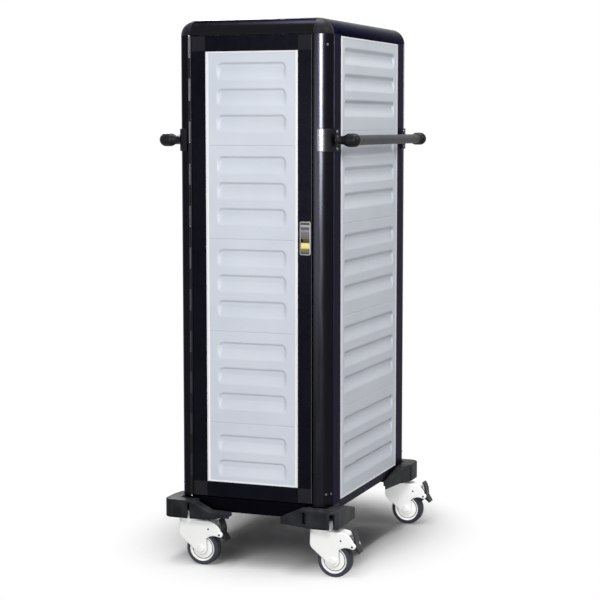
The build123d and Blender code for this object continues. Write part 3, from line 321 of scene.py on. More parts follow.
def putPiece(name, sheets, finish, body, node=None, crease=meshSpec["crease"]):
    # welds the sheets, turns their faces outwards, smooths them up to the crease angle
    points, faces, start = [], [], 0
    for sheetPoints, quads, caps in sheets:
        points.append(sheetPoints)
        faces += (quads + start).tolist() + [(cap + start).tolist() for cap in caps]
        start += len(sheetPoints)
    mesh = bpy.data.meshes.new(name)
    mesh.from_pydata((np.concatenate(points) * millimetre).tolist(), [], faces)
    work = bmesh.new()
    work.from_mesh(mesh)
    bmesh.ops.remove_doubles(work, verts=work.verts, dist=meshSpec["weld"])
    bmesh.ops.dissolve_degenerate(work, edges=work.edges, dist=meshSpec["sliver"])
    bmesh.ops.recalc_face_normals(work, faces=work.faces)
    work.to_mesh(mesh)
    work.free()
    mesh.polygons.foreach_set("use_smooth", np.ones(len(mesh.polygons), bool))
    mesh.set_sharp_from_angle(angle=math.radians(crease))
    mesh.materials.append(materials[finish])
    piece = bpy.data.objects.new(name, mesh)
    bpy.context.scene.collection.objects.link(piece)
    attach(piece, body)
    if node:
        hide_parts(node)
    return piece


def faceCentres(mesh):
    # X, Y and Z of every face's middle, in millimetres
    centres = np.empty(len(mesh.polygons) * 3)
    mesh.polygons.foreach_get("center", centres)
    return centres.reshape(-1, 3).T / millimetre


def secondFinish(mesh, finish, chosen):
    # the chosen faces take another finish
    mesh.materials.append(materials[finish])
    mesh.polygons.foreach_set("material_index", chosen.astype(int))


def nodeBox(node):
    # the node's corners in millimetres
    low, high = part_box(node)
    return np.array(low) / millimetre, np.array(high) / millimetre


def mirrored(sheets, x=1.0, y=1.0):
    # the same sheets with X or Y turned over
    factor = np.array([x, y, 1.0])
    return [(points * factor, quads, caps) for points, quads, caps in sheets]


def shifted(sheets, offset):
    return [(points + np.asarray(offset, float), quads, caps) for points, quads, caps in sheets]


def fourCorners(sheets):
    # a front right piece and its three mirror images, in one list
    return sheets + mirrored(sheets, x=-1) + mirrored(sheets, y=-1) + mirrored(sheets, x=-1, y=-1)


def arc(centre, radius, startDeg, endDeg, steps):
    # points on a circle from one angle to another
    a = np.radians(np.linspace(startDeg, endDeg, steps))
    return np.stack([centre[0] + radius * np.cos(a), centre[1] + radius * np.sin(a)], -1)


def cornerCurves(p, before, after, radius, steps):
    # each corner becomes a quadratic curve between points one radius before and after it
    lengthBefore = np.linalg.norm(before, axis=1, keepdims=True)
    lengthAfter = np.linalg.norm(after, axis=1, keepdims=True)
    room = meshSpec["cornerShare"] * np.minimum(lengthBefore, lengthAfter)
    r = np.minimum(np.reshape(radius, (-1, 1)), room)
    first, last = (p + before / lengthBefore * r)[:, None], (p + after / lengthAfter * r)[:, None]
    t = np.linspace(0, 1, steps)[None, :, None]
    return ((1 - t) ** 2 * first + 2 * t * (1 - t) * p[:, None] + t ** 2 * last).reshape(-1, 2)


def roundedOutline(corners, radius, steps=6):
    # a closed outline with its corners rounded
    p = np.array(corners, float)
    return cornerCurves(p, np.roll(p, 1, 0) - p, np.roll(p, -1, 0) - p, radius, steps)


def smoothProfile(points, radius, steps=5):
    # an open profile with its inner corners rounded
    p = np.array(points, float)
    inner = p[1:-1]
    curves = cornerCurves(inner, p[:-2] - inner, p[2:] - inner, radius, steps)
    return np.concatenate([p[:1], curves, p[-1:]])


def inwardNormals(outline):
    # unit normals of a closed outline, pointing to its inside
    along = np.roll(outline, -1, 0) - np.roll(outline, 1, 0)
    along /= np.maximum(np.linalg.norm(along, axis=1, keepdims=True), 1e-9)
    x, y = outline.T
    area = np.sum(x * np.roll(y, -1) - np.roll(x, -1) * y)
    return np.stack([-along[:, 1], along[:, 0]], -1) * np.sign(area)


def prismRows(outline, low, high, lowEdge, highEdge, steps=5, marks=()):
    # an outline drawn out from low to high, its rims rounded by quarter circles
    # close rows beside the rims hold the flats, and each mark adds a row at its height
    outline = np.asarray(outline, float)
    normal = inwardNormals(outline)
    a = np.linspace(0, math.pi / 2, steps)[:, None]
    lowEdge, highEdge = (np.zeros((1, len(outline))) + edge for edge in (lowEdge, highEdge))
    hold = np.clip((high - low - lowEdge - highEdge) / 4, 0, meshSpec["hold"])
    level = hold * 0
    lowCap, highCap = (edge + np.minimum(edge, meshSpec["hold"]) for edge in (lowEdge, highEdge))
    marked = np.reshape(marks, (-1, 1)) + level
    inset = np.concatenate([lowCap, lowEdge * (1 - np.sin(a)), level, marked * 0,
                            level, highEdge * (1 - np.cos(a)), highCap])
    height = np.concatenate([low + level, low + lowEdge * (1 - np.cos(a)), low + lowEdge + hold, marked,
                             high - highEdge - hold, high - highEdge * (1 - np.sin(a)), high + level])
    across = outline[None] + normal[None] * inset[..., None]
    return across[..., 0], across[..., 1], height


def roundedPrism(outline, low, high, lowEdge, highEdge, place, steps=5):
    rows = prismRows(outline, low, high, lowEdge, highEdge, steps)
    return sheet(place(*rows), wrapCols=True, capRows=True)


def upright(u, v, w):
    # plan outline drawn up in Z
    return np.stack([u, v, w], -1)


def sideways(u, v, w):
    # X and Z outline drawn along Y
    return np.stack([u, w, v], -1)


def endways(u, v, w):
    # Y and Z outline drawn along X
    return np.stack([w, u, v], -1)


def lathe(profile, centre, axis, steps=48):
    # radius and distance pairs turned about an axis through the centre
    profile = np.asarray(profile, float)
    a = np.linspace(0, 2 * math.pi, steps, endpoint=False)
    radius, along = profile[:, :1], np.repeat(profile[:, 1:], steps, 1)
    turned = [radius * np.cos(a), radius * np.sin(a)]
    turned.insert("xyz".index(axis), along)
    return sheet(np.stack(turned, -1) + np.asarray(centre, float), wrapCols=True)


# Ribbed wall modules
ribSpec = {"module": 265.2, "height": 50.0, "pitch": 73.4, "footRamp": 30.0, "footPower": 1.3,
           "footLift": 0.3, "corner": 18.0, "step": 2.0, "seam": 0.02, "endSpan": 24.0, "endPast": 2.0,
           "endSteps": 22, "flatSteps": 8, "middleSteps": 26, "rimSteps": 4, "crease": 50.0}
sideRibs = {"body": "cabinet", "modules": [3] * 5, "first": [29.2] * 5, "ribLength": 472.0, "depth": 7.8,
            "topRamp": 13.0, "endRamp": 5.0, "edge": 0.8}
flatRibs = {"depth": 5.0, "topRamp": 5.5, "endRamp": 12.0, "edge": 1.2}
# modules counts the ribs of each module, first is the place of its top rib
wallSpec = {
    "leftWallModules": {"node": "left_wall_panels", "facing": "-x", **sideRibs},
    "rightWallModules": {"node": "right_wall_panels", "facing": "+x", **sideRibs},
    "rearWallModules": {"node": "rear_wall_panels", "body": "cabinet", "facing": "+y", "modules": [3] * 4,
                        "first": [31.5] * 4, "ribLength": 280.0, **flatRibs},
    "doorModules": {"node": "door_panels", "body": "door", "facing": "-y", "modules": [3, 3, 3, 3, 2],
                    "first": [31.5, 30.0, 28.5, 30.5, 35.0], "ribLength": 214.0, **flatRibs},
}


def ribField(u, v, wall, ribCount, first):
    # depth of the nearest rib: a smooth step in from its top edge and ends, a long ramp out at its foot
    spec = ribSpec
    index = np.clip(np.round((v - first - spec["height"] / 2) / spec["pitch"]), 0, ribCount - 1)
    below = v - first - index * spec["pitch"]
    past = np.maximum(np.abs(u) - (wall["ribLength"] / 2 - spec["corner"]), 0)
    above = np.maximum(spec["corner"] - below, 0)
    inside = spec["corner"] - np.hypot(past, above)
    inside = np.where(past == 0, np.minimum(below, spec["corner"] * 2), inside)
    share = past ** 2 / np.maximum(past ** 2 + above ** 2, 1e-6)
    enter = np.clip(inside / (wall["topRamp"] + (wall["endRamp"] - wall["topRamp"]) * share), 0, 1)
    leave = np.clip((spec["height"] - below) / spec["footRamp"], 0, 1)
    foot = leave ** spec["footPower"] * (1 + spec["footLift"] * (1 - leave))
    return wall["depth"] * enter ** 2 * (3 - 2 * enter) * foot


def heightSamples(height, edge):
    # even samples with a few more in the rounded edge at both ends
    inner = np.linspace(edge, height - edge, int(round((height - 2 * edge) / ribSpec["step"])) + 1)
    rim = edge * (1 - np.cos(np.linspace(0, math.pi / 2, ribSpec["rimSteps"])[:-1]))
    return np.concatenate([rim, inner, height - rim[::-1]])


def widthSamples(width, wall):
    # few samples along the straight ribs, many round their ends and in the rounded edges
    spec, end = ribSpec, wall["ribLength"] / 2
    start, past = end - spec["endSpan"], end + spec["endPast"]
    rim = width / 2 - wall["edge"] * (1 - np.cos(np.linspace(math.pi / 2, 0, spec["rimSteps"])))
    ends = np.linspace(start, past, spec["endSteps"])
    flat = np.linspace(past, rim[0], spec["flatSteps"])[1:-1]
    middle = np.linspace(-start, start, spec["middleSteps"])[1:-1]
    right = np.concatenate([ends, flat, rim])
    return np.concatenate([-right[::-1], middle, right])


def wallModule(width, height, thickness, wall, ribCount, first):
    # outer face as a height field over (u, v), with rounded edges, then a skirt back to a flat back face
    edge = wall["edge"]
    u, v = widthSamples(width, wall), heightSamples(height, edge)
    v, u = np.meshgrid(v, u, indexing="ij")
    border = np.minimum(np.minimum(u + width / 2, width / 2 - u), np.minimum(v, height - v))
    short = np.clip(edge - border, 0, edge)
    depth = ribField(u, v, wall, ribCount, first) + edge - np.sqrt(edge ** 2 - short ** 2)
    face = np.stack([u, depth, -v], -1)
    rim = np.concatenate([face[0], face[1:, -1], face[-1, -2::-1], face[-2:0:-1, 0]])
    back = rim * (1, 0, 1) + (0, thickness, 0)
    skirt = sheet(np.stack([rim, back]), wrapCols=True)
    return [sheet(face), (skirt[0], skirt[1], [np.arange(len(rim)) + len(rim)])]


def turnedTo(sheets, facing):
    # a module that faces -Y, turned to face another side
    c, s = {"-y": (1, 0), "+x": (0, 1), "+y": (-1, 0), "-x": (0, -1)}[facing]
    turn = np.array([[c, s, 0], [-s, c, 0], [0, 0, 1.0]])
    return [(points @ turn, quads, caps) for points, quads, caps in sheets]


def makeWall(name, spec):
    # modules hung one below the other from the top of the outer face
    low, high = nodeBox(spec["node"])
    sign, axis = spec["facing"][0], "xy".index(spec["facing"][1])
    thickness, width = (high - low)[axis], (high - low)[1 - axis]
    place = (low + high) / 2
    place[axis] = low[axis] if sign == "-" else high[axis]
    place[2] = high[2]
    sheets = []
    for ribCount, first in zip(spec["modules"], spec["first"]):
        height = min(ribSpec["module"], place[2] - low[2])
        module = wallModule(width, height - ribSpec["seam"], thickness, spec, ribCount, first)
        sheets += shifted(turnedTo(module, spec["facing"]), place)
        place = place - (0, 0, height)
    putPiece(name, sheets, "panelGrey", spec["body"], spec["node"], ribSpec["crease"])


for wallName, wallValues in wallSpec.items():
    makeWall(wallName, wallValues)
print("ribbed walls built")

# Half sizes of the cabinet and the level where its top begins to round
railLow, railHigh = nodeBox("top_rails")
halfX, halfY, topBase = railHigh[0], railHigh[1], railLow[2]

# Corner posts and the rounded top
postSpec = {"radius": 45.0, "wallThick": 36.0, "bandEnd": 103.5, "bandSlack": 0.02, "foot": 4.0,
            "grooveWidth": 3.0, "grooveDepth": 1.2, "grooveSlope": 0.4, "jamb": 6.0, "edge": 0.5,
            "arcSteps": 25}
capSpec = {"seam": 0.35, "railEdge": 0.5, "steps": 14, "crease": 40.0}
pocketSpec = {"strike": 1.55, "bolt": 12.0, "clear": 1.5, "lip": 0.1, "face": 2.0}


def postOutline():
    # quarter circle, a shallow groove where it meets the flat side band, and plain inner sides
    spec = postSpec
    r, groove = spec["radius"], spec["grooveWidth"] / 2
    x, y = halfX - r, -(halfY - r)
    swing = math.degrees(math.asin(groove / r))
    rounded = arc((x, y), r, -90, -swing, spec["arcSteps"])
    bed, bedHalf = halfX - spec["grooveDepth"], groove - spec["grooveSlope"]
    inner, band, jamb = halfX - spec["wallThick"], -halfY + spec["bandEnd"], y + spec["jamb"]
    flat = np.array([(bed, y - bedHalf), (bed, y + bedHalf), (halfX, y + groove), (halfX, band),
                     (inner, band), (inner, jamb), (x, jamb)])
    return np.concatenate([rounded, flat])


def latchPost(outline, low, high, foot, edge):
    # the front right post: jamb points within the strike plate or the bolt hole are pushed in
    spec = pocketSpec
    strike, bolt = nodeBox("latch_strike"), nodeBox("latch_bolt")
    zones = [(strike[0], strike[1], spec["strike"]),
             (bolt[0] - spec["clear"], bolt[1] + spec["clear"], spec["bolt"])]
    lips = (-spec["lip"], spec["lip"])
    yMarks, zMarks = ([zone[end][axis] + lip for zone in zones for end in (0, 1) for lip in lips]
                      for axis in (1, 2))
    jambX = outline[0, 0]
    outline = np.concatenate([outline, [(jambX, y) for y in sorted(yMarks, reverse=True)]])
    foot = np.append(foot, [edge] * len(yMarks))
    grid = upright(*prismRows(outline, low, high, foot, edge, marks=sorted(zMarks)))
    for lowest, highest, depth in zones:
        inside = np.abs(grid[..., 0] - jambX) < spec["face"]
        for axis in (1, 2):
            inside &= (grid[..., axis] > lowest[axis]) & (grid[..., axis] < highest[axis])
        grid[..., 0] = np.where(inside, jambX + depth, grid[..., 0])
    return sheet(grid, wrapCols=True, capRows=True)


def makePosts():
    low, high = nodeBox("corner_posts")
    outline, edge = postOutline(), postSpec["edge"]
    foot = np.where(np.arange(len(outline)) < postSpec["arcSteps"], postSpec["foot"], edge)
    foot[0] = edge
    top = high[2] - capSpec["seam"]
    posts = fourCorners([roundedPrism(outline, low[2], top, foot, edge, upright)])
    posts[0] = latchPost(outline, low[2], top, foot, edge)
    mesh = putPiece("cornerPosts", posts, "frameBlack", "cabinet", "corner_posts").data
    secondFinish(mesh, "bandBlack", np.abs(faceCentres(mesh)[0]) > halfX - postSpec["bandSlack"])


def makeTopRails():
    # a quarter disc drawn along each side
    r, seam, edge = postSpec["radius"], capSpec["seam"], capSpec["railEdge"]
    section = np.concatenate([arc((0, 0), r, 0, 90, postSpec["arcSteps"]), [(0.0, 0.0)]])
    reachX, reachY = halfX - r, halfY - r
    right = roundedPrism(section + (reachX, topBase), -reachY + seam, reachY - seam, edge, edge, sideways, 3)
    back = roundedPrism(section + (reachY, topBase), -reachX + seam, reachX - seam, edge, edge, endways, 3)
    rails = [right, back] + mirrored([right], x=-1) + mirrored([back], y=-1)
    putPiece("topRails", rails, "railBlack", "cabinet", "top_rails")


def makeTopCaps():
    # an eighth of a ball: radius times the unit vector of two angles, closed by three quarter discs
    r, steps = postSpec["radius"], capSpec["steps"]
    angles = np.linspace(0, math.pi / 2, steps)
    turn, lift = np.meshgrid(angles, angles, indexing="ij")
    ball = r * np.stack([np.cos(lift) * np.sin(turn), -np.cos(lift) * np.cos(turn), np.sin(lift)], -1)
    fans = [np.stack([np.zeros((steps, 3)), line]) for line in (ball[:, 0], ball[0], ball[-1])]
    octant = [sheet(ball)] + [sheet(fan) for fan in fans]
    caps = shifted(octant, (halfX - r, -(halfY - r), topBase))
    putPiece("topCornerCaps", fourCorners(caps), "cornerPlastic", "cabinet", "top_corner_caps",
             capSpec["crease"])


makePosts()
makeTopRails()
makeTopCaps()
print("posts and top built")

# Painted highlights: light strips round the door panel and at the side panels stand for their lit edges, and
# a lighter line stands for the door's lit free edge
edgeHighlightSpec = {"doorSides": (9.0, 9.0), "wallSides": (22.0, 9.0), "end": 5.0, "rise": 1.1, "lap": 0.6,
              "crease": 50.0}
edgeLineSpec = {"width": 2.2, "rise": 0.5, "inset": 0.4, "sink": 0.5, "short": 2.0, "rim": 0.2,
                "crease": 40.0}


def frameStrip(x0, x1, z0, z1, faceY, sides):
    # a low rounded profile carried round a rectangle in X and Z, mitred at its corners
    spec = edgeHighlightSpec
    t = np.linspace(0, 1, 9)
    proud = spec["rise"] * np.sin(math.pi * t) ** 0.5
    back = faceY + spec["lap"]
    rows = np.concatenate([np.stack([t, faceY - proud], -1), [(1.0, back), (0.0, back)]])
    cornersX, cornersZ = np.array([x0, x1, x1, x0]), np.array([z0, z0, z1, z1])
    inX, inZ = np.array(sides)[[0, 1, 1, 0]] * (1, -1, -1, 1), spec["end"] * np.array([1, 1, -1, -1.0])
    points = np.stack([cornersX + np.outer(rows[:, 0], inX), np.repeat(rows[:, 1:], 4, 1),
                       cornersZ + np.outer(rows[:, 0], inZ)], -1)
    return sheet(points, wrapRows=True, wrapCols=True)


def makeDoorEdgeHighlight():
    low, high = nodeBox("door_panels")
    strip = frameStrip(low[0], high[0], low[2], high[2], low[1], edgeHighlightSpec["doorSides"])
    putPiece("doorPanelEdgeHighlight", [strip], "edgeHighlightWhite", "door", crease=edgeHighlightSpec["crease"])


def makeSideEdgeHighlight():
    low, high = nodeBox("right_wall_panels")
    strip = frameStrip(low[1], high[1], low[2], high[2], -high[0], edgeHighlightSpec["wallSides"])
    points, quads, caps = strip
    right = [(np.stack([-points[:, 1], points[:, 0], points[:, 2]], -1), quads, caps)]
    sides = right + mirrored(right, x=-1)
    putPiece("sidePanelEdgeHighlight", sides, "edgeHighlightWhite", "cabinet", crease=edgeHighlightSpec["crease"])


def makeDoorEdgeLine():
    # a slim half round down the free edge of the door, a little lighter than the stile: a painted highlight
    # of that edge
    spec = edgeLineSpec
    low, high = nodeBox("door_corner_pieces")
    half, short, rim = spec["width"] / 2, spec["short"], spec["rim"]
    middle = high[0] - spec["inset"] - half
    rounded = arc((0, 0), half, 180, 360, 9) * (1, spec["rise"] / half)
    outline = np.concatenate([rounded, [(half, spec["sink"]), (-half, spec["sink"])]]) + (middle, low[1])
    line = roundedPrism(outline, low[2] + short, high[2] - short, rim, rim, upright, 3)
    putPiece("doorEdgeLine", [line], "edgeLineHighlight", "door", crease=spec["crease"])


makeDoorEdgeHighlight()
makeSideEdgeHighlight()
makeDoorEdgeLine()
print("edging built")

# Push handles: elbows, grips and the brackets on the posts
handleSpec = {"axisX": 283.5, "axisY": 321.0, "elbow": 19.0, "reach": 24.0, "neck": 12.0, "flare": 4.0,
              "flareFlat": 1.5, "flareEnd": 7.0, "coneFrom": 8.0, "coneTo": 6.0, "blend": 3.5, "grip": 14.0,
              "collar": 16.0, "collarLength": 23.0, "collarLap": 1.0, "collarEdge": 1.6, "ringDepth": 0.8,
              "ringGap": 9.0, "ringSlope": 0.4, "ringWidth": 2.2}
bracketSpec = {"thick": 5.0, "gap": 0.05, "startDeg": -76.0, "tail": 30.0, "edge": 1.4, "steps": 14}


def makeElbows():
    # a neck, cone and dome turned about X, and a collar turned about Y
    spec = handleSpec
    low, high = nodeBox("handle_elbows")
    level = (low[2] + high[2]) / 2
    root, tip = halfX + bracketSpec["thick"], spec["axisX"] + spec["reach"]
    cone, neck, flare = spec["axisX"] - spec["elbow"], spec["neck"], spec["neck"] + spec["flare"]
    elbow, shoulder = spec["elbow"], tip - spec["elbow"]
    stem = smoothProfile([(0, root), (flare, root), (flare, root + spec["flareFlat"]),
                          (neck, root + spec["flareEnd"]), (neck, cone - spec["coneFrom"]),
                          (elbow, cone + spec["coneTo"]), (elbow, shoulder)], spec["blend"])
    dome = arc((0, shoulder), elbow, 0, 90, 14)
    bulb = lathe(np.concatenate([stem, dome]), (0, -spec["axisY"], level), "x")
    outer, inner = spec["collar"], spec["grip"] - spec["collarLap"]
    start, end = -spec["axisY"], -spec["axisY"] + spec["collarLength"]
    ring = [(0, start), (outer, start), (outer, end), (inner, end), (0, end)]
    collar = lathe(smoothProfile(ring, spec["collarEdge"]), (spec["axisX"], 0, level), "y")
    putPiece("handleElbows", fourCorners([bulb, collar]), "handleBlack", "cabinet", "handle_elbows")


def makeGrips():
    # a tube turned about Y with two shallow rings near each end
    spec = handleSpec
    low, high = nodeBox("handle_grips")
    end = high[1]
    r, bed, gap = spec["grip"], spec["grip"] - spec["ringDepth"], spec["ringGap"]
    slope, wide = spec["ringSlope"], spec["ringWidth"]
    half = [(r, 0)]
    for start in (end - 2 * gap, end - gap):
        half += [(r, start), (bed, start + slope), (bed, start + wide - slope), (r, start + wide)]
    half += [(r, end), (0, end)]
    profile = np.array([(radius, -y) for radius, y in half[::-1]] + half[1:], float)
    tube = [lathe(profile, (spec["axisX"], 0, (low[2] + high[2]) / 2), "y")]
    putPiece("handleGrips", tube + mirrored(tube, x=-1), "gripGrey", "cabinet", "handle_grips")


def makeBrackets():
    # a saddle of two concentric arcs with a flat tail, drawn up and rounded at its rims
    spec = bracketSpec
    low, high = nodeBox("handle_brackets")
    r = postSpec["radius"]
    centre = (halfX - r, -(halfY - r))
    outer = arc(centre, r + spec["thick"], spec["startDeg"], 0, spec["steps"])
    inner = arc(centre, r + spec["gap"], 0, spec["startDeg"], spec["steps"])
    tailY = centre[1] + spec["tail"]
    outline = np.concatenate([outer, [(halfX + spec["thick"], tailY), (halfX + spec["gap"], tailY)], inner])
    saddle = [roundedPrism(outline, low[2], high[2], spec["edge"], spec["edge"], upright)]
    putPiece("handleBrackets", fourCorners(saddle), "bracketBlack", "cabinet", "handle_brackets")


makeElbows()
makeGrips()
makeBrackets()

# Screws on the posts and bolts on the brackets
screwSpec = {"places": ((52.0, 1502.0), (48.0, 236.0), (72.0, 236.0)), "radius": 3.6, "rise": 0.8,
             "socket": 1.7}
boltSpec = {"offset": 23.0, "back": 4.0, "radius": 5.0, "rise": 3.0, "socket": 2.4}
# the dome and the socket's bed are shares of a radius and of the rise
headSpec = {"dome": ((1.0, 0.45), (0.86, 0.85), (0.62, 1.0)), "sunk": 1.0, "mouth": 1.06, "lip": 0.15,
            "bed": (0.9, 0.2), "steps": 24}


def screwHead(start, angleDeg, spec):
    # a low dome turned about Z with a six-sided socket, then laid over to point along an angle in plan
    radius, rise, socket, steps = spec["radius"], spec["rise"], spec["socket"], headSpec["steps"]
    a = np.linspace(0, 2 * math.pi, steps, endpoint=False)
    dome = [(radius, -headSpec["sunk"])] + [(radius * r, rise * z) for r, z in headSpec["dome"]]
    bed = (socket * headSpec["bed"][0], rise * headSpec["bed"][1])
    rim = np.array(dome + [(socket * headSpec["mouth"], rise), (socket, rise - headSpec["lip"]), bed])
    hexagon = np.cos(math.pi / 6) / np.cos((a % (math.pi / 3)) - math.pi / 6)
    shape = np.where(np.arange(len(rim))[:, None] >= len(dome), hexagon[None], 1.0) * rim[:, :1]
    points = np.stack([shape * np.cos(a), shape * np.sin(a), np.repeat(rim[:, 1:], steps, 1)], -1)
    t = math.radians(angleDeg)
    basis = np.array([(-math.cos(t), -math.sin(t), 0), (0, 0, 1), (math.sin(t), -math.cos(t), 0)])
    return sheet(points @ basis + np.asarray(start, float), wrapCols=True, capRows=True)


def makeScrews():
    r = postSpec["radius"]
    screws = []
    for angle, level in screwSpec["places"]:
        t = math.radians(angle)
        start = (halfX - r + r * math.sin(t), -(halfY - r) - r * math.cos(t), level)
        screws.append(screwHead(start, angle, screwSpec))
    low, high = nodeBox("handle_brackets")
    level = (low[2] + high[2]) / 2
    boltX, boltY = halfX + bracketSpec["thick"], -handleSpec["axisY"] + boltSpec["back"]
    for side in (-1, 1):
        screws.append(screwHead((boltX, boltY, level + side * boltSpec["offset"]), 90.0, boltSpec))
    putPiece("postScrews", fourCorners(screws), "boltGrey", "cabinet", "post_screws")


makeScrews()
print("handles and screws built")

# Corner bumpers: two mouldings with sloping wings, each on two opposite corners
bumperSpec = {"reach": 36.0, "nose": 29.0, "clear": 0.3, "wall": 6.0, "deck": 14.0, "thinDeck": 3.0,
              "edge": 3.5, "footIn": 0.8, "footRise": 1.2, "slotTop": 190.0, "slotDepth": 13.0,
              "slotBack": 2.0, "slotLip": 0.1, "slotSlack": 0.2, "slotFace": 0.5, "slotFoot": 6.0,
              "slotLeast": 0.8, "slotRoof": 0.4, "wallShare": 0.6, "edgeShare": 0.45, "steps": 110,
              "crease": 38.0}
# the block's rim sizes are its lower and its upper edge
blockSpec = {"x": 166.3, "y": 270.3, "lap": 1.0, "round": 3.0, "rims": (0.5, 1.5), "wall": 2.6,
             "wallRound": 1.0, "wallRims": (1.0, 0.2)}
# a wing's lines are place along the face and height; its slots are place, width and lower end
wingSpec = {
    "shortFront": {"tip": 98.0, "tipReach": 28.0, "turn": 200.0, "top": ((98, 171), (156, 198)),
                   "foot": ((98, 152), (185, 145)), "slots": ((170, 11, 158), (253, 13, 100))},
    "shortSide": {"tip": 233.0, "tipReach": 33.0, "turn": 335.0, "top": ((233, 178), (258, 185), (333, 198)),
                  "foot": ((233, 139), (300, 143)), "slots": ()},
    "longFront": {"tip": 64.0, "tipReach": 24.0, "turn": 180.0, "top": ((64, 167), (122, 168.5), (182, 198)),
                  "foot": ((64, 156), (122, 145)), "slots": ((187, 8, 100),)},
    "longSide": {"tip": 140.0, "tipReach": 6.0, "turn": 335.0, "top": ((140, 176), (293, 198)),
                 "foot": ((140, 162), (300, 145)), "slots": ((320, 8, 100),)},
}
bumperSpots = {(1, 1): ("shortFront", "shortSide"), (-1, -1): ("shortFront", "shortSide"),
               (-1, 1): ("longFront", "longSide"), (1, -1): ("longFront", "longSide")}


def bumperPath(front, side):
    # plan of the outer face from the front wing tip round the nose to the side wing tip
    nose = bumperSpec["nose"]
    outX, outY = halfX + bumperSpec["reach"], halfY + bumperSpec["reach"]
    wing = [(front["tip"], -halfY - front["tipReach"]), (front["turn"], -outY)]
    turn = arc((outX - nose, -outY + nose), nose, -90, 0, 40)
    path = np.concatenate([wing, turn, [(outX, -side["turn"]), (halfX + side["tipReach"], -side["tip"])]])
    along = np.concatenate([[0], np.cumsum(np.linalg.norm(np.diff(path, axis=0), axis=1))])
    return path, along


def slotMarks(front, side, path, along):
    # start, end and lower level of each slot along the path
    last = np.argmax(path[:, 0])
    marks = []
    for place, width, low in front["slots"]:
        ends = np.interp((place - width / 2, place + width / 2), path[:last + 1, 0], along[:last + 1])
        marks.append((*ends, low))
    for place, width, low in side["slots"]:
        ends = np.interp((-place - width / 2, -place + width / 2), path[last:, 1], along[last:])
        marks.append((*ends, low))
    return marks


def bumperCover(front, side):
    # rows go from the deck's underside round the rim, up the outer wall, over a rounded edge to the body
    spec = bumperSpec
    lip = spec["slotLip"]
    low, high = nodeBox("corner_bumpers")
    path, along = bumperPath(front, side)
    marks = slotMarks(front, side, path, along)
    edges = [(a - lip, a + lip, b - lip, b + lip) for a, b, _ in marks]
    s = np.unique(np.concatenate([np.linspace(0, along[-1], spec["steps"]), along, np.ravel(edges)]))
    p = np.stack([np.interp(s, along, path[:, 0]), np.interp(s, along, path[:, 1])], -1)
    tangent = np.gradient(p, s, axis=0)
    tangent /= np.linalg.norm(tangent, axis=1, keepdims=True)
    normal = np.stack([-tangent[:, 1], tangent[:, 0]], -1)
    r = postSpec["radius"]
    core = np.clip(p, (r - halfX, r - halfY), (halfX - r, halfY - r))
    out = (p - core) / np.linalg.norm(p - core, axis=1, keepdims=True)
    body = core + out * (r + spec["clear"])
    room = np.linalg.norm(p - body, axis=1)
    wall = np.minimum(spec["wall"], spec["wallShare"] * room)
    edge = np.minimum(spec["edge"], spec["edgeShare"] * room)
    top = np.minimum(np.interp(p[:, 0], *zip(*front["top"])), np.interp(-p[:, 1], *zip(*side["top"])))
    bottom = np.maximum(np.interp(p[:, 0], *zip(*front["foot"])), np.interp(-p[:, 1], *zip(*side["foot"])))
    hollow = (p[:, 0] > blockSpec["x"] + spec["wall"]) & (p[:, 1] < -blockSpec["y"] - spec["wall"])
    deck = np.where(hollow, np.minimum(high[2] - spec["deck"], top - spec["thinDeck"]), bottom)
    slotTop = np.minimum(spec["slotTop"], top - edge - spec["slotRoof"])
    slotLow = np.minimum(low[2] + spec["slotFoot"], slotTop - spec["slotLeast"])
    cut = np.zeros(len(s))
    for a, b, level in marks:
        inside = (s > a) & (s < b)
        wall = np.where(inside, spec["slotDepth"] + spec["slotBack"], wall)
        if level < low[2]:
            bottom, slotLow = np.where(inside, slotTop, bottom), np.where(inside, slotTop, slotLow)
        else:
            cut, slotLow = np.where(inside, spec["slotDepth"], cut), np.where(inside, level, slotLow)
    a = np.linspace(0, math.pi / 2, 6)
    flush = np.zeros(len(s))
    insets = [wall, wall, flush + spec["footIn"], flush, flush, cut, cut, flush]
    insets += [edge * (1 - math.cos(t)) for t in a]
    levels = [deck, bottom, bottom, np.minimum(bottom + spec["footRise"], slotLow),
              slotLow - lip, slotLow + lip, slotTop - lip, slotTop + lip]
    levels += [top - edge * (1 - math.sin(t)) for t in a]
    rows = [np.column_stack([body, deck])]
    rows += [np.column_stack([p + normal * inset[:, None], level]) for inset, level in zip(insets, levels)]
    rows.append(np.column_stack([body, top]))
    return sheet(np.stack(rows), wrapRows=True, capCols=True)


def bumperBlock():
    # the block under the post: a roof and two inner walls
    spec = blockSpec
    low, high = nodeBox("corner_bumpers")
    wall, lap = spec["wall"], spec["lap"]
    x0, x1, y0, y1 = spec["x"], halfX - lap, -halfY + lap, -spec["y"]
    wallEnd, roofZ = y1 - bumperSpec["clear"], high[2] - bumperSpec["deck"]
    roof = roundedOutline([(x0, y0), (x1, y0), (x1, y1), (x0, y1)], spec["round"])
    pieces = [roundedPrism(roof, roofZ, high[2], *spec["rims"], upright)]
    left = [(x0, y0), (x0 + wall, y0), (x0 + wall, wallEnd), (x0, wallEnd)]
    rear = [(x0, y1 - wall), (x1, y1 - wall), (x1, y1), (x0, y1)]
    for corners in (left, rear):
        plan = roundedOutline(corners, spec["wallRound"])
        pieces.append(roundedPrism(plan, low[2], roofZ + lap, *spec["wallRims"], upright))
    return pieces


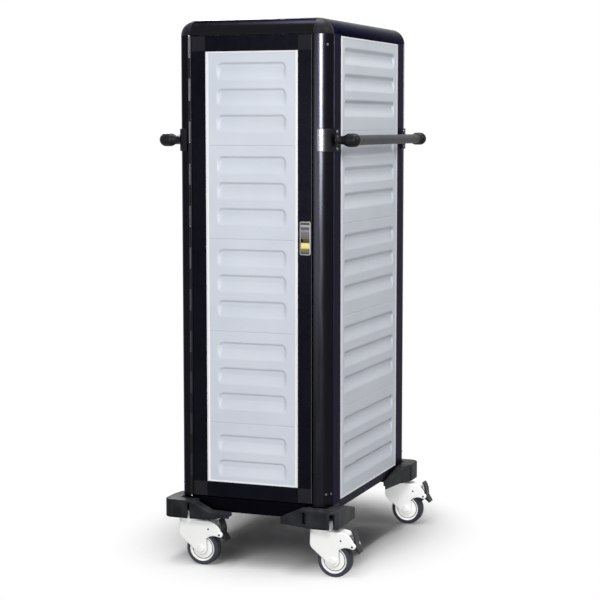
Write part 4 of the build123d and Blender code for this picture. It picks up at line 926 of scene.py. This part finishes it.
def makeBumpers():
    # the four mouldings, with painted shade, a darker finish, in the deep slot of the short wing
    spec = bumperSpec
    sheets = []
    for (x, y), (front, side) in bumperSpots.items():
        cover = bumperCover(wingSpec[front], wingSpec[side])
        sheets += mirrored([cover] + bumperBlock(), x=x, y=y)
    piece = putPiece("cornerBumpers", sheets, "bumperBlack", "cabinet", "corner_bumpers", spec["crease"])
    mesh = piece.data
    x, y, z = faceCentres(mesh)
    place, width, foot = wingSpec["shortFront"]["slots"][0]
    slack, face = spec["slotSlack"], halfY + spec["reach"] - spec["slotFace"]
    slotShadeFaces = (np.abs(np.abs(x) - place) < width / 2 + slack) & (x * y < 0)
    slotShadeFaces &= (z > foot - slack) & (z < spec["slotTop"])
    # the slot's inner faces take the near black finish as painted shade
    secondFinish(mesh, "slotPaintedShade", slotShadeFaces & (np.abs(y) < face) & (np.abs(y) > face - spec["slotDepth"]))


makeBumpers()
print("bumpers built")

# Castors: X from the wheel's centre, Z from the floor
castorSpec = {"trail": 43.0, "wheel": 50.0, "forkOut": 24.0, "forkIn": 18.6, "forkEdges": (0.4, 3.6),
              "crownLap": 1.0, "top": 134.0, "head": 33.0, "headDeep": 8.0, "headEdge": 2.5, "bore": 7.0,
              "axle": 6.0, "axleCap": 12.0, "capRise": 5.0, "capSlope": 3.0, "capSink": 0.5, "capEdge": 2.0}
# a stud's place, radius, rise beyond the fork and rounding
studSpec = {"pedalPin": {"x": 57.0, "z": 95.0, "radius": 3.0, "rise": 0.9, "edge": 0.6},
            "rivet": {"x": 23.0, "z": 110.0, "radius": 2.6, "rise": 0.5, "edge": 0.4}}
wheelSpec = {"bore": 6.05, "hub": 13.0, "hubSlope": 2.5, "hubOut": 17.0, "face": 10.5, "ring": 31.5,
             "ringHalf": 1.0, "ringSlope": 0.2, "ringRise": 1.0, "ringDepth": 8.0, "lip": 34.6,
             "lipRise": 1.6, "lipSlope": 2.0, "edge": 0.8, "seat": 38.0, "seatRise": 1.2, "seatDip": 0.5,
             "half": 15.5, "shoulder": 6.0, "grooveAt": 6.0, "grooveHalf": 0.7, "grooveBed": 0.3,
             "grooveDepth": 0.7}
pedalSpec = {"half": 17.6, "edge": 1.6, "hub": 7.2, "corner": 3.0}


def arcThrough(a, b, c, steps=10):
    # the circle through three points, from the first to the last by way of the middle one
    a, b, c = (np.array(p, float) for p in (a, b, c))
    m = 2 * np.array([b - a, c - a])
    centre = np.linalg.solve(m, [b @ b - a @ a, c @ c - a @ a])
    angles = [math.atan2(*(p - centre)[::-1]) for p in (a, b, c)]
    full = 2 * math.pi
    sweep = (angles[2] - angles[0]) % full
    if (angles[1] - angles[0]) % full > sweep:
        sweep -= full
    t = angles[0] + np.linspace(0, sweep, steps)
    return centre + np.linalg.norm(a - centre) * np.stack([np.cos(t), np.sin(t)], -1)


def forkOutline():
    # side view of a cheek: flat top, a nose over the pedal pin, and a leg down to the axle
    return np.concatenate([
        [(-58.0, 134.0)],
        arcThrough((20, 134), (48, 124), (61, 105)),
        arcThrough((61, 105), (67, 94), (60, 87))[1:],
        arcThrough((43, 90), (28, 88), (16, 80)),
        arcThrough((17.5, 54.2), (2, 32.1), (-16, 41.75), 14),
        arcThrough((-62, 80), (-68, 87), (-71, 96)),
        arcThrough((-70, 122), (-66, 131), (-58, 134))[:-1],
    ])


def crownOutline():
    # what joins the two cheeks above the wheel
    return np.concatenate([
        [(-58.0, 133.9)],
        arcThrough((20, 133.9), (34, 131), (46, 125)),
        [(46.0, 110.0), (36.0, 118.0), (-62.0, 118.0), (-65.0, 104.0), (-70.8, 101.5)],
        arcThrough((-69.9, 122), (-66, 130.9), (-58, 133.9))[:-1],
    ])


def makeFork(corner, place):
    # two cheeks and the crown between them, with a ring turned about the swivel on top
    spec = castorSpec
    neckTop = nodeBox("castor_fork_" + corner)[1][2]
    reach = spec["forkIn"] + spec["crownLap"]
    cheek = roundedPrism(forkOutline(), spec["forkIn"], spec["forkOut"], *spec["forkEdges"], sideways, 6)
    crown = roundedPrism(crownOutline(), -reach, reach, 0.0, 0.0, sideways, 2)
    bore, outer, base = spec["bore"], spec["head"], spec["top"] - spec["headDeep"]
    ring = [(bore, base), (outer, base), (outer, neckTop), (bore, neckTop), (bore, base)]
    neck = lathe(smoothProfile(ring, spec["headEdge"]), (-spec["trail"], 0, 0), "z")
    sheets = shifted([cheek] + mirrored([cheek], y=-1) + [crown, neck], place)
    putPiece("castorFork_" + corner, sheets, "castorWhite", "castor_" + corner, "castor_fork_" + corner)


def makeAxle(corner, place):
    # axle caps in the fork's colour, then the dark ends of the pedal pin and rivet
    spec = castorSpec
    out, axle, cap = spec["forkOut"], spec["axle"], spec["axleCap"]
    capOut, capIn, crown = -out - spec["capRise"], -out + spec["capSink"], cap - spec["capSlope"]
    dome = smoothProfile([(0, capOut), (crown, capOut), (cap, capIn), (0, capIn)], spec["capEdge"])
    caps = [lathe(dome, (0, 0, spec["wheel"]), "y")]
    rod = lathe([(0, -out), (axle, -out), (axle, out), (0, out)], (0, 0, spec["wheel"]), "y", 32)
    putPiece("castorAxle_" + corner, shifted(caps + mirrored(caps, y=-1) + [rod], place), "castorWhite",
             "castor_" + corner, "castor_pins_" + corner)
    dots = []
    for stud in studSpec.values():
        r, reach = stud["radius"], out + stud["rise"]
        pin = smoothProfile([(0, -reach), (r, -reach), (r, reach), (0, reach)], stud["edge"])
        dots.append(lathe(pin, (stud["x"], 0, stud["z"]), "y", 24))
    putPiece("castorRivets_" + corner, shifted(dots, place), "hingeDark", "castor_" + corner)


def makeWheel(corner, place):
    # rim and tyre turned about the axle, each from a half profile mirrored across the middle
    spec = wheelSpec
    hub, hubOut, face, lip, wide = spec["hub"], spec["hubOut"], spec["face"], spec["lip"], spec["half"]
    ringIn, ringOut = spec["ring"] - spec["ringHalf"], spec["ring"] + spec["ringHalf"]
    bed, edge = face - spec["ringDepth"], face + spec["ringRise"]
    slope, seat = spec["ringSlope"], spec["seat"]
    half = [(spec["bore"], hubOut), (hub, hubOut), (hub + spec["hubSlope"], face), (ringIn, edge),
            (ringIn + slope, bed), (ringOut - slope, bed), (ringOut, edge), (lip, face + spec["lipRise"]),
            (lip + spec["lipSlope"], wide), (seat, wide)]
    profile = smoothProfile(half, spec["edge"], 4)
    rim = np.concatenate([profile, (profile * (1, -1))[::-1], profile[:1]])
    centre = np.asarray(place, float) + (0, 0, castorSpec["wheel"])
    mesh = putPiece("castorRim_" + corner, [lathe(rim, centre, "y", 64)], "castorWhite", "wheel_" + corner,
                    "castor_wheel_" + corner).data
    x, y, z = faceCentres(mesh) - centre[:, None]
    # the groove ring's faces take the dark tyre finish: painted shade in the gap between disc and lip
    ringPaintedShade = (np.abs(np.hypot(x, z) - spec["ring"]) < spec["ringHalf"]) & (np.abs(y) < face)
    secondFinish(mesh, "tyreGrey", ringPaintedShade)
    r, at = castorSpec["wheel"], spec["grooveAt"]
    grooveHalf, grooveBed, deep = spec["grooveHalf"], spec["grooveBed"], r - spec["grooveDepth"]
    side = [(seat, wide), (seat + spec["seatRise"], wide - spec["seatDip"])]
    shoulder = arc((r - spec["shoulder"], wide - spec["shoulder"]), spec["shoulder"], 90, 0, 9)
    tread = [(r, at + grooveHalf), (deep, at + grooveBed), (deep, at - grooveBed), (r, at - grooveHalf)]
    half = np.concatenate([side, shoulder, tread])
    tyre = np.concatenate([half, (half * (1, -1))[::-1], half[:1]])
    putPiece("castorTyre_" + corner, [lathe(tyre, centre, "y", 72)], "tyreGrey", "wheel_" + corner,
             "castor_tyre_" + corner)


def makePedal(corner, place):
    # a curved release plate, a toe, a shoe over the tyre and the hub on the pin
    spec, pin = pedalSpec, studSpec["pedalPin"]
    half, edge, rounding = spec["half"], spec["edge"], spec["corner"]
    outside = arcThrough((65, 96), (64.5, 119), (55, 140))
    inside = arcThrough((51, 139), (60, 118), (60, 97))
    plate = np.concatenate([outside, inside])
    toe = roundedOutline([(57, 102), (66, 98), (77, 81), (78, 76), (74, 74.5), (68, 82), (58, 88)], rounding)
    shoe = roundedOutline([(63, 91), (51, 99), (43.8, 82.5), (50, 77.2)], rounding)
    hub = arc((pin["x"], pin["z"]), spec["hub"], 0, 352.5, 48)
    shapes = (plate, toe, shoe, hub)
    sheets = [roundedPrism(shape, -half, half, edge, edge, sideways) for shape in shapes]
    putPiece("castorPedal_" + corner, shifted(sheets, place), "pedalBlack", "pedal_" + corner,
             "castor_brake_pedal_" + corner)


for castorCorner in castorCorners:
    castorLow, castorHigh = nodeBox("castor_tyre_" + castorCorner)
    castorPlace = (castorLow + castorHigh) / 2 * (1, 1, 0)
    makeFork(castorCorner, castorPlace)
    makeAxle(castorCorner, castorPlace)
    makeWheel(castorCorner, castorPlace)
    makePedal(castorCorner, castorPlace)
print("castors built")

# Floor, backdrop light and lamps
stageSpec = {"floorHalf": 40.0, "floorTone": 0.9, "floorBounce": 0.25, "floorRough": 0.95,
             "worldLight": 0.05, "centre": (-0.035, 0.1), "spread": (0.42, 0.52), "fadeFrom": 0.7,
             "fadeTo": 1.4}


def castorWhites(*corners):
    # names of the white castor pieces at these corners
    return tuple(f"castor{piece}_{corner}" for corner in corners for piece in ("Fork", "Axle", "Rim"))


# a lamp lights only the pieces that it names, or else the object without its lid
lampSpec = {
    "skyBox": {"place": (0.14, -2.6, 4.5), "aim": (0.14, -2.59, 0.0), "size": (0.8, 6.0), "power": 225.0,
               "lights": ("floor",)},
    "rearGlow": {"place": (0.3, 3.2, 2.3), "aim": (0.1, 0.3, 0.0), "size": (2.4, 1.6), "power": 20.0,
                 "lights": ("floor",)},
    "frontBox": {"place": (0.0, -5.2, 3.3), "aim": (0.0, -0.3, 0.1), "size": (3.0, 1.6), "power": 90.0,
                 "lights": ("floor",)},
    "topBox": {"place": (0.0, 0.3, 4.6), "aim": (0.0, 0.1, 0.0), "size": (2.2, 2.2), "power": 190.0},
    "lidBox": {"place": (0.0, 0.3, 4.6), "aim": (0.0, 0.1, 0.0), "size": (2.2, 2.2), "power": 76.0,
               "lights": ("top_panel",)},
    "backBox": {"place": (-2.9, 4.4, 3.6), "aim": (-0.1, 0.1, 0.7), "size": (1.8, 1.6), "power": 190.0},
    "keyBox": {"place": (1.6, -5.4, 4.4), "aim": (0.1, -0.2, 0.8), "size": (1.8, 1.6), "power": 152.0},
    "fillBox": {"place": (0.3, -6.0, 1.0), "aim": (0, -0.2, 0.7), "size": (3.0, 1.6), "power": 142.0},
    "sideBox": {"place": (3.5, -0.9, 3.4), "aim": (0.2, 0.0, 0.6), "size": (1.6, 1.4), "power": 84.0},
    "baseBox": {"place": (1.3, -1.15, 1.35), "aim": (0.25, -0.4, 0.17), "size": (0.7, 0.5), "power": 80.0,
                "lights": ("cornerBumpers",)},
    "rearCastorBox": {"place": (1.9, -5.0, 0.7), "aim": (0.2, 0.3, 0.1), "size": (1.2, 0.8), "power": 116.0,
                      "lights": castorWhites("rear_left", "rear_right")},
    "frontCastorBox": {"place": (1.9, -5.0, 0.7), "aim": (0.2, -0.3, 0.1), "size": (1.2, 0.8), "power": 28.0,
                       "lights": castorWhites("front_left", "front_right")},
    "postStrip": {"place": (2.72, -4.08, 1.88), "aim": (0.2, -0.35, 1.3), "size": (1.4, 1.3),
                  "power": 1460.0, "lights": ("cornerPosts", "handleBrackets")},
}


def seenRays(tree):
    # 1 for rays from the camera, from mirrors and through glass, 0 for the rest
    path = tree.nodes.new("ShaderNodeLightPath")
    value = path.outputs["Is Camera Ray"]
    for name in ("Is Glossy Ray", "Is Transmission Ray"):
        value = combined(tree, "MAXIMUM", value, path.outputs[name])
    return value


def makeFloor():
    # pale round the object, where it keeps the shadow, and fading to white away from it
    half = stageSpec["floorHalf"]
    mesh = bpy.data.meshes.new("floor")
    corners = [(-half, -half, 0), (half, -half, 0), (half, half, 0), (-half, half, 0)]
    mesh.from_pydata(corners, [], [(0, 1, 2, 3)])
    floor = bpy.data.objects.new("floor", mesh)
    bpy.context.scene.collection.objects.link(floor)
    material = bpy.data.materials.new("paleFloor")
    material.use_nodes = True
    tree = material.node_tree
    shader = tree.nodes["Principled BSDF"]
    seen = seenRays(tree)
    tone = remapped(tree, seen, stageSpec["floorBounce"], stageSpec["floorTone"])
    joinNodes(tree, tone, shader.inputs["Base Color"])
    shader.inputs["Roughness"].default_value = stageSpec["floorRough"]
    shader.inputs["Specular IOR Level"].default_value = 0.0
    distance = tree.nodes.new("ShaderNodeVectorMath")
    distance.operation = "LENGTH"
    (centreX, centreY), (spreadX, spreadY) = stageSpec["centre"], stageSpec["spread"]
    place = objectCoords(tree, (1 / spreadX, 1 / spreadY, 1))
    place.node.inputs["Location"].default_value = (-centreX / spreadX, -centreY / spreadY, 0)
    joinNodes(tree, place, distance.inputs[0])
    far = remapped(tree, distance.outputs["Value"], 0.0, 1.0, stageSpec["fadeFrom"], stageSpec["fadeTo"])
    far.node.interpolation_type = "SMOOTHSTEP"
    share = combined(tree, "MULTIPLY", far, seen)
    white = addNode(tree, "ShaderNodeEmission", Color=(1, 1, 1, 1), Strength=1.0)
    mix = tree.nodes.new("ShaderNodeMixShader")
    joinNodes(tree, share, mix.inputs["Fac"])
    joinNodes(tree, shader.outputs["BSDF"], mix.inputs[1])
    joinNodes(tree, white.outputs["Emission"], mix.inputs[2])
    joinNodes(tree, mix.outputs["Shader"], tree.nodes["Material Output"].inputs["Surface"])
    mesh.materials.append(material)


def makeWorld():
    # white where it is seen, softer as light
    world = bpy.data.worlds.new("studio")
    bpy.context.scene.world = world
    world.use_nodes = True
    tree = world.node_tree
    shader = tree.nodes["Background"]
    shader.inputs["Color"].default_value = (1, 1, 1, 1)
    joinNodes(tree, remapped(tree, seenRays(tree), stageSpec["worldLight"], 1.0), shader.inputs["Strength"])


def makeLamp(name, spec):
    data = bpy.data.lights.new(name, "AREA")
    data.shape = "RECTANGLE"
    data.size, data.size_y = spec["size"]
    data.energy = spec["power"]
    lamp = bpy.data.objects.new(name, data)
    lamp.location = spec["place"]
    direction = Vector(spec["aim"]) - Vector(spec["place"])
    lamp.rotation_euler = direction.to_track_quat("-Z", "Y").to_euler()
    bpy.context.scene.collection.objects.link(lamp)
    receivers = bpy.data.collections.new(name + "Receivers")
    meshes = [item for item in bpy.context.scene.objects if item.type == "MESH"]
    others = [item.name for item in meshes if item.name not in ("floor", "top_panel")]
    for piece in meshes:
        if piece.name in spec.get("lights", others):
            receivers.objects.link(piece)
    lamp.light_linking.receiver_collection = receivers


makeFloor()
makeWorld()
for lampName, lampValues in lampSpec.items():
    makeLamp(lampName, lampValues)
bpy.context.scene.view_settings.view_transform = "Standard"
print("stage lit")
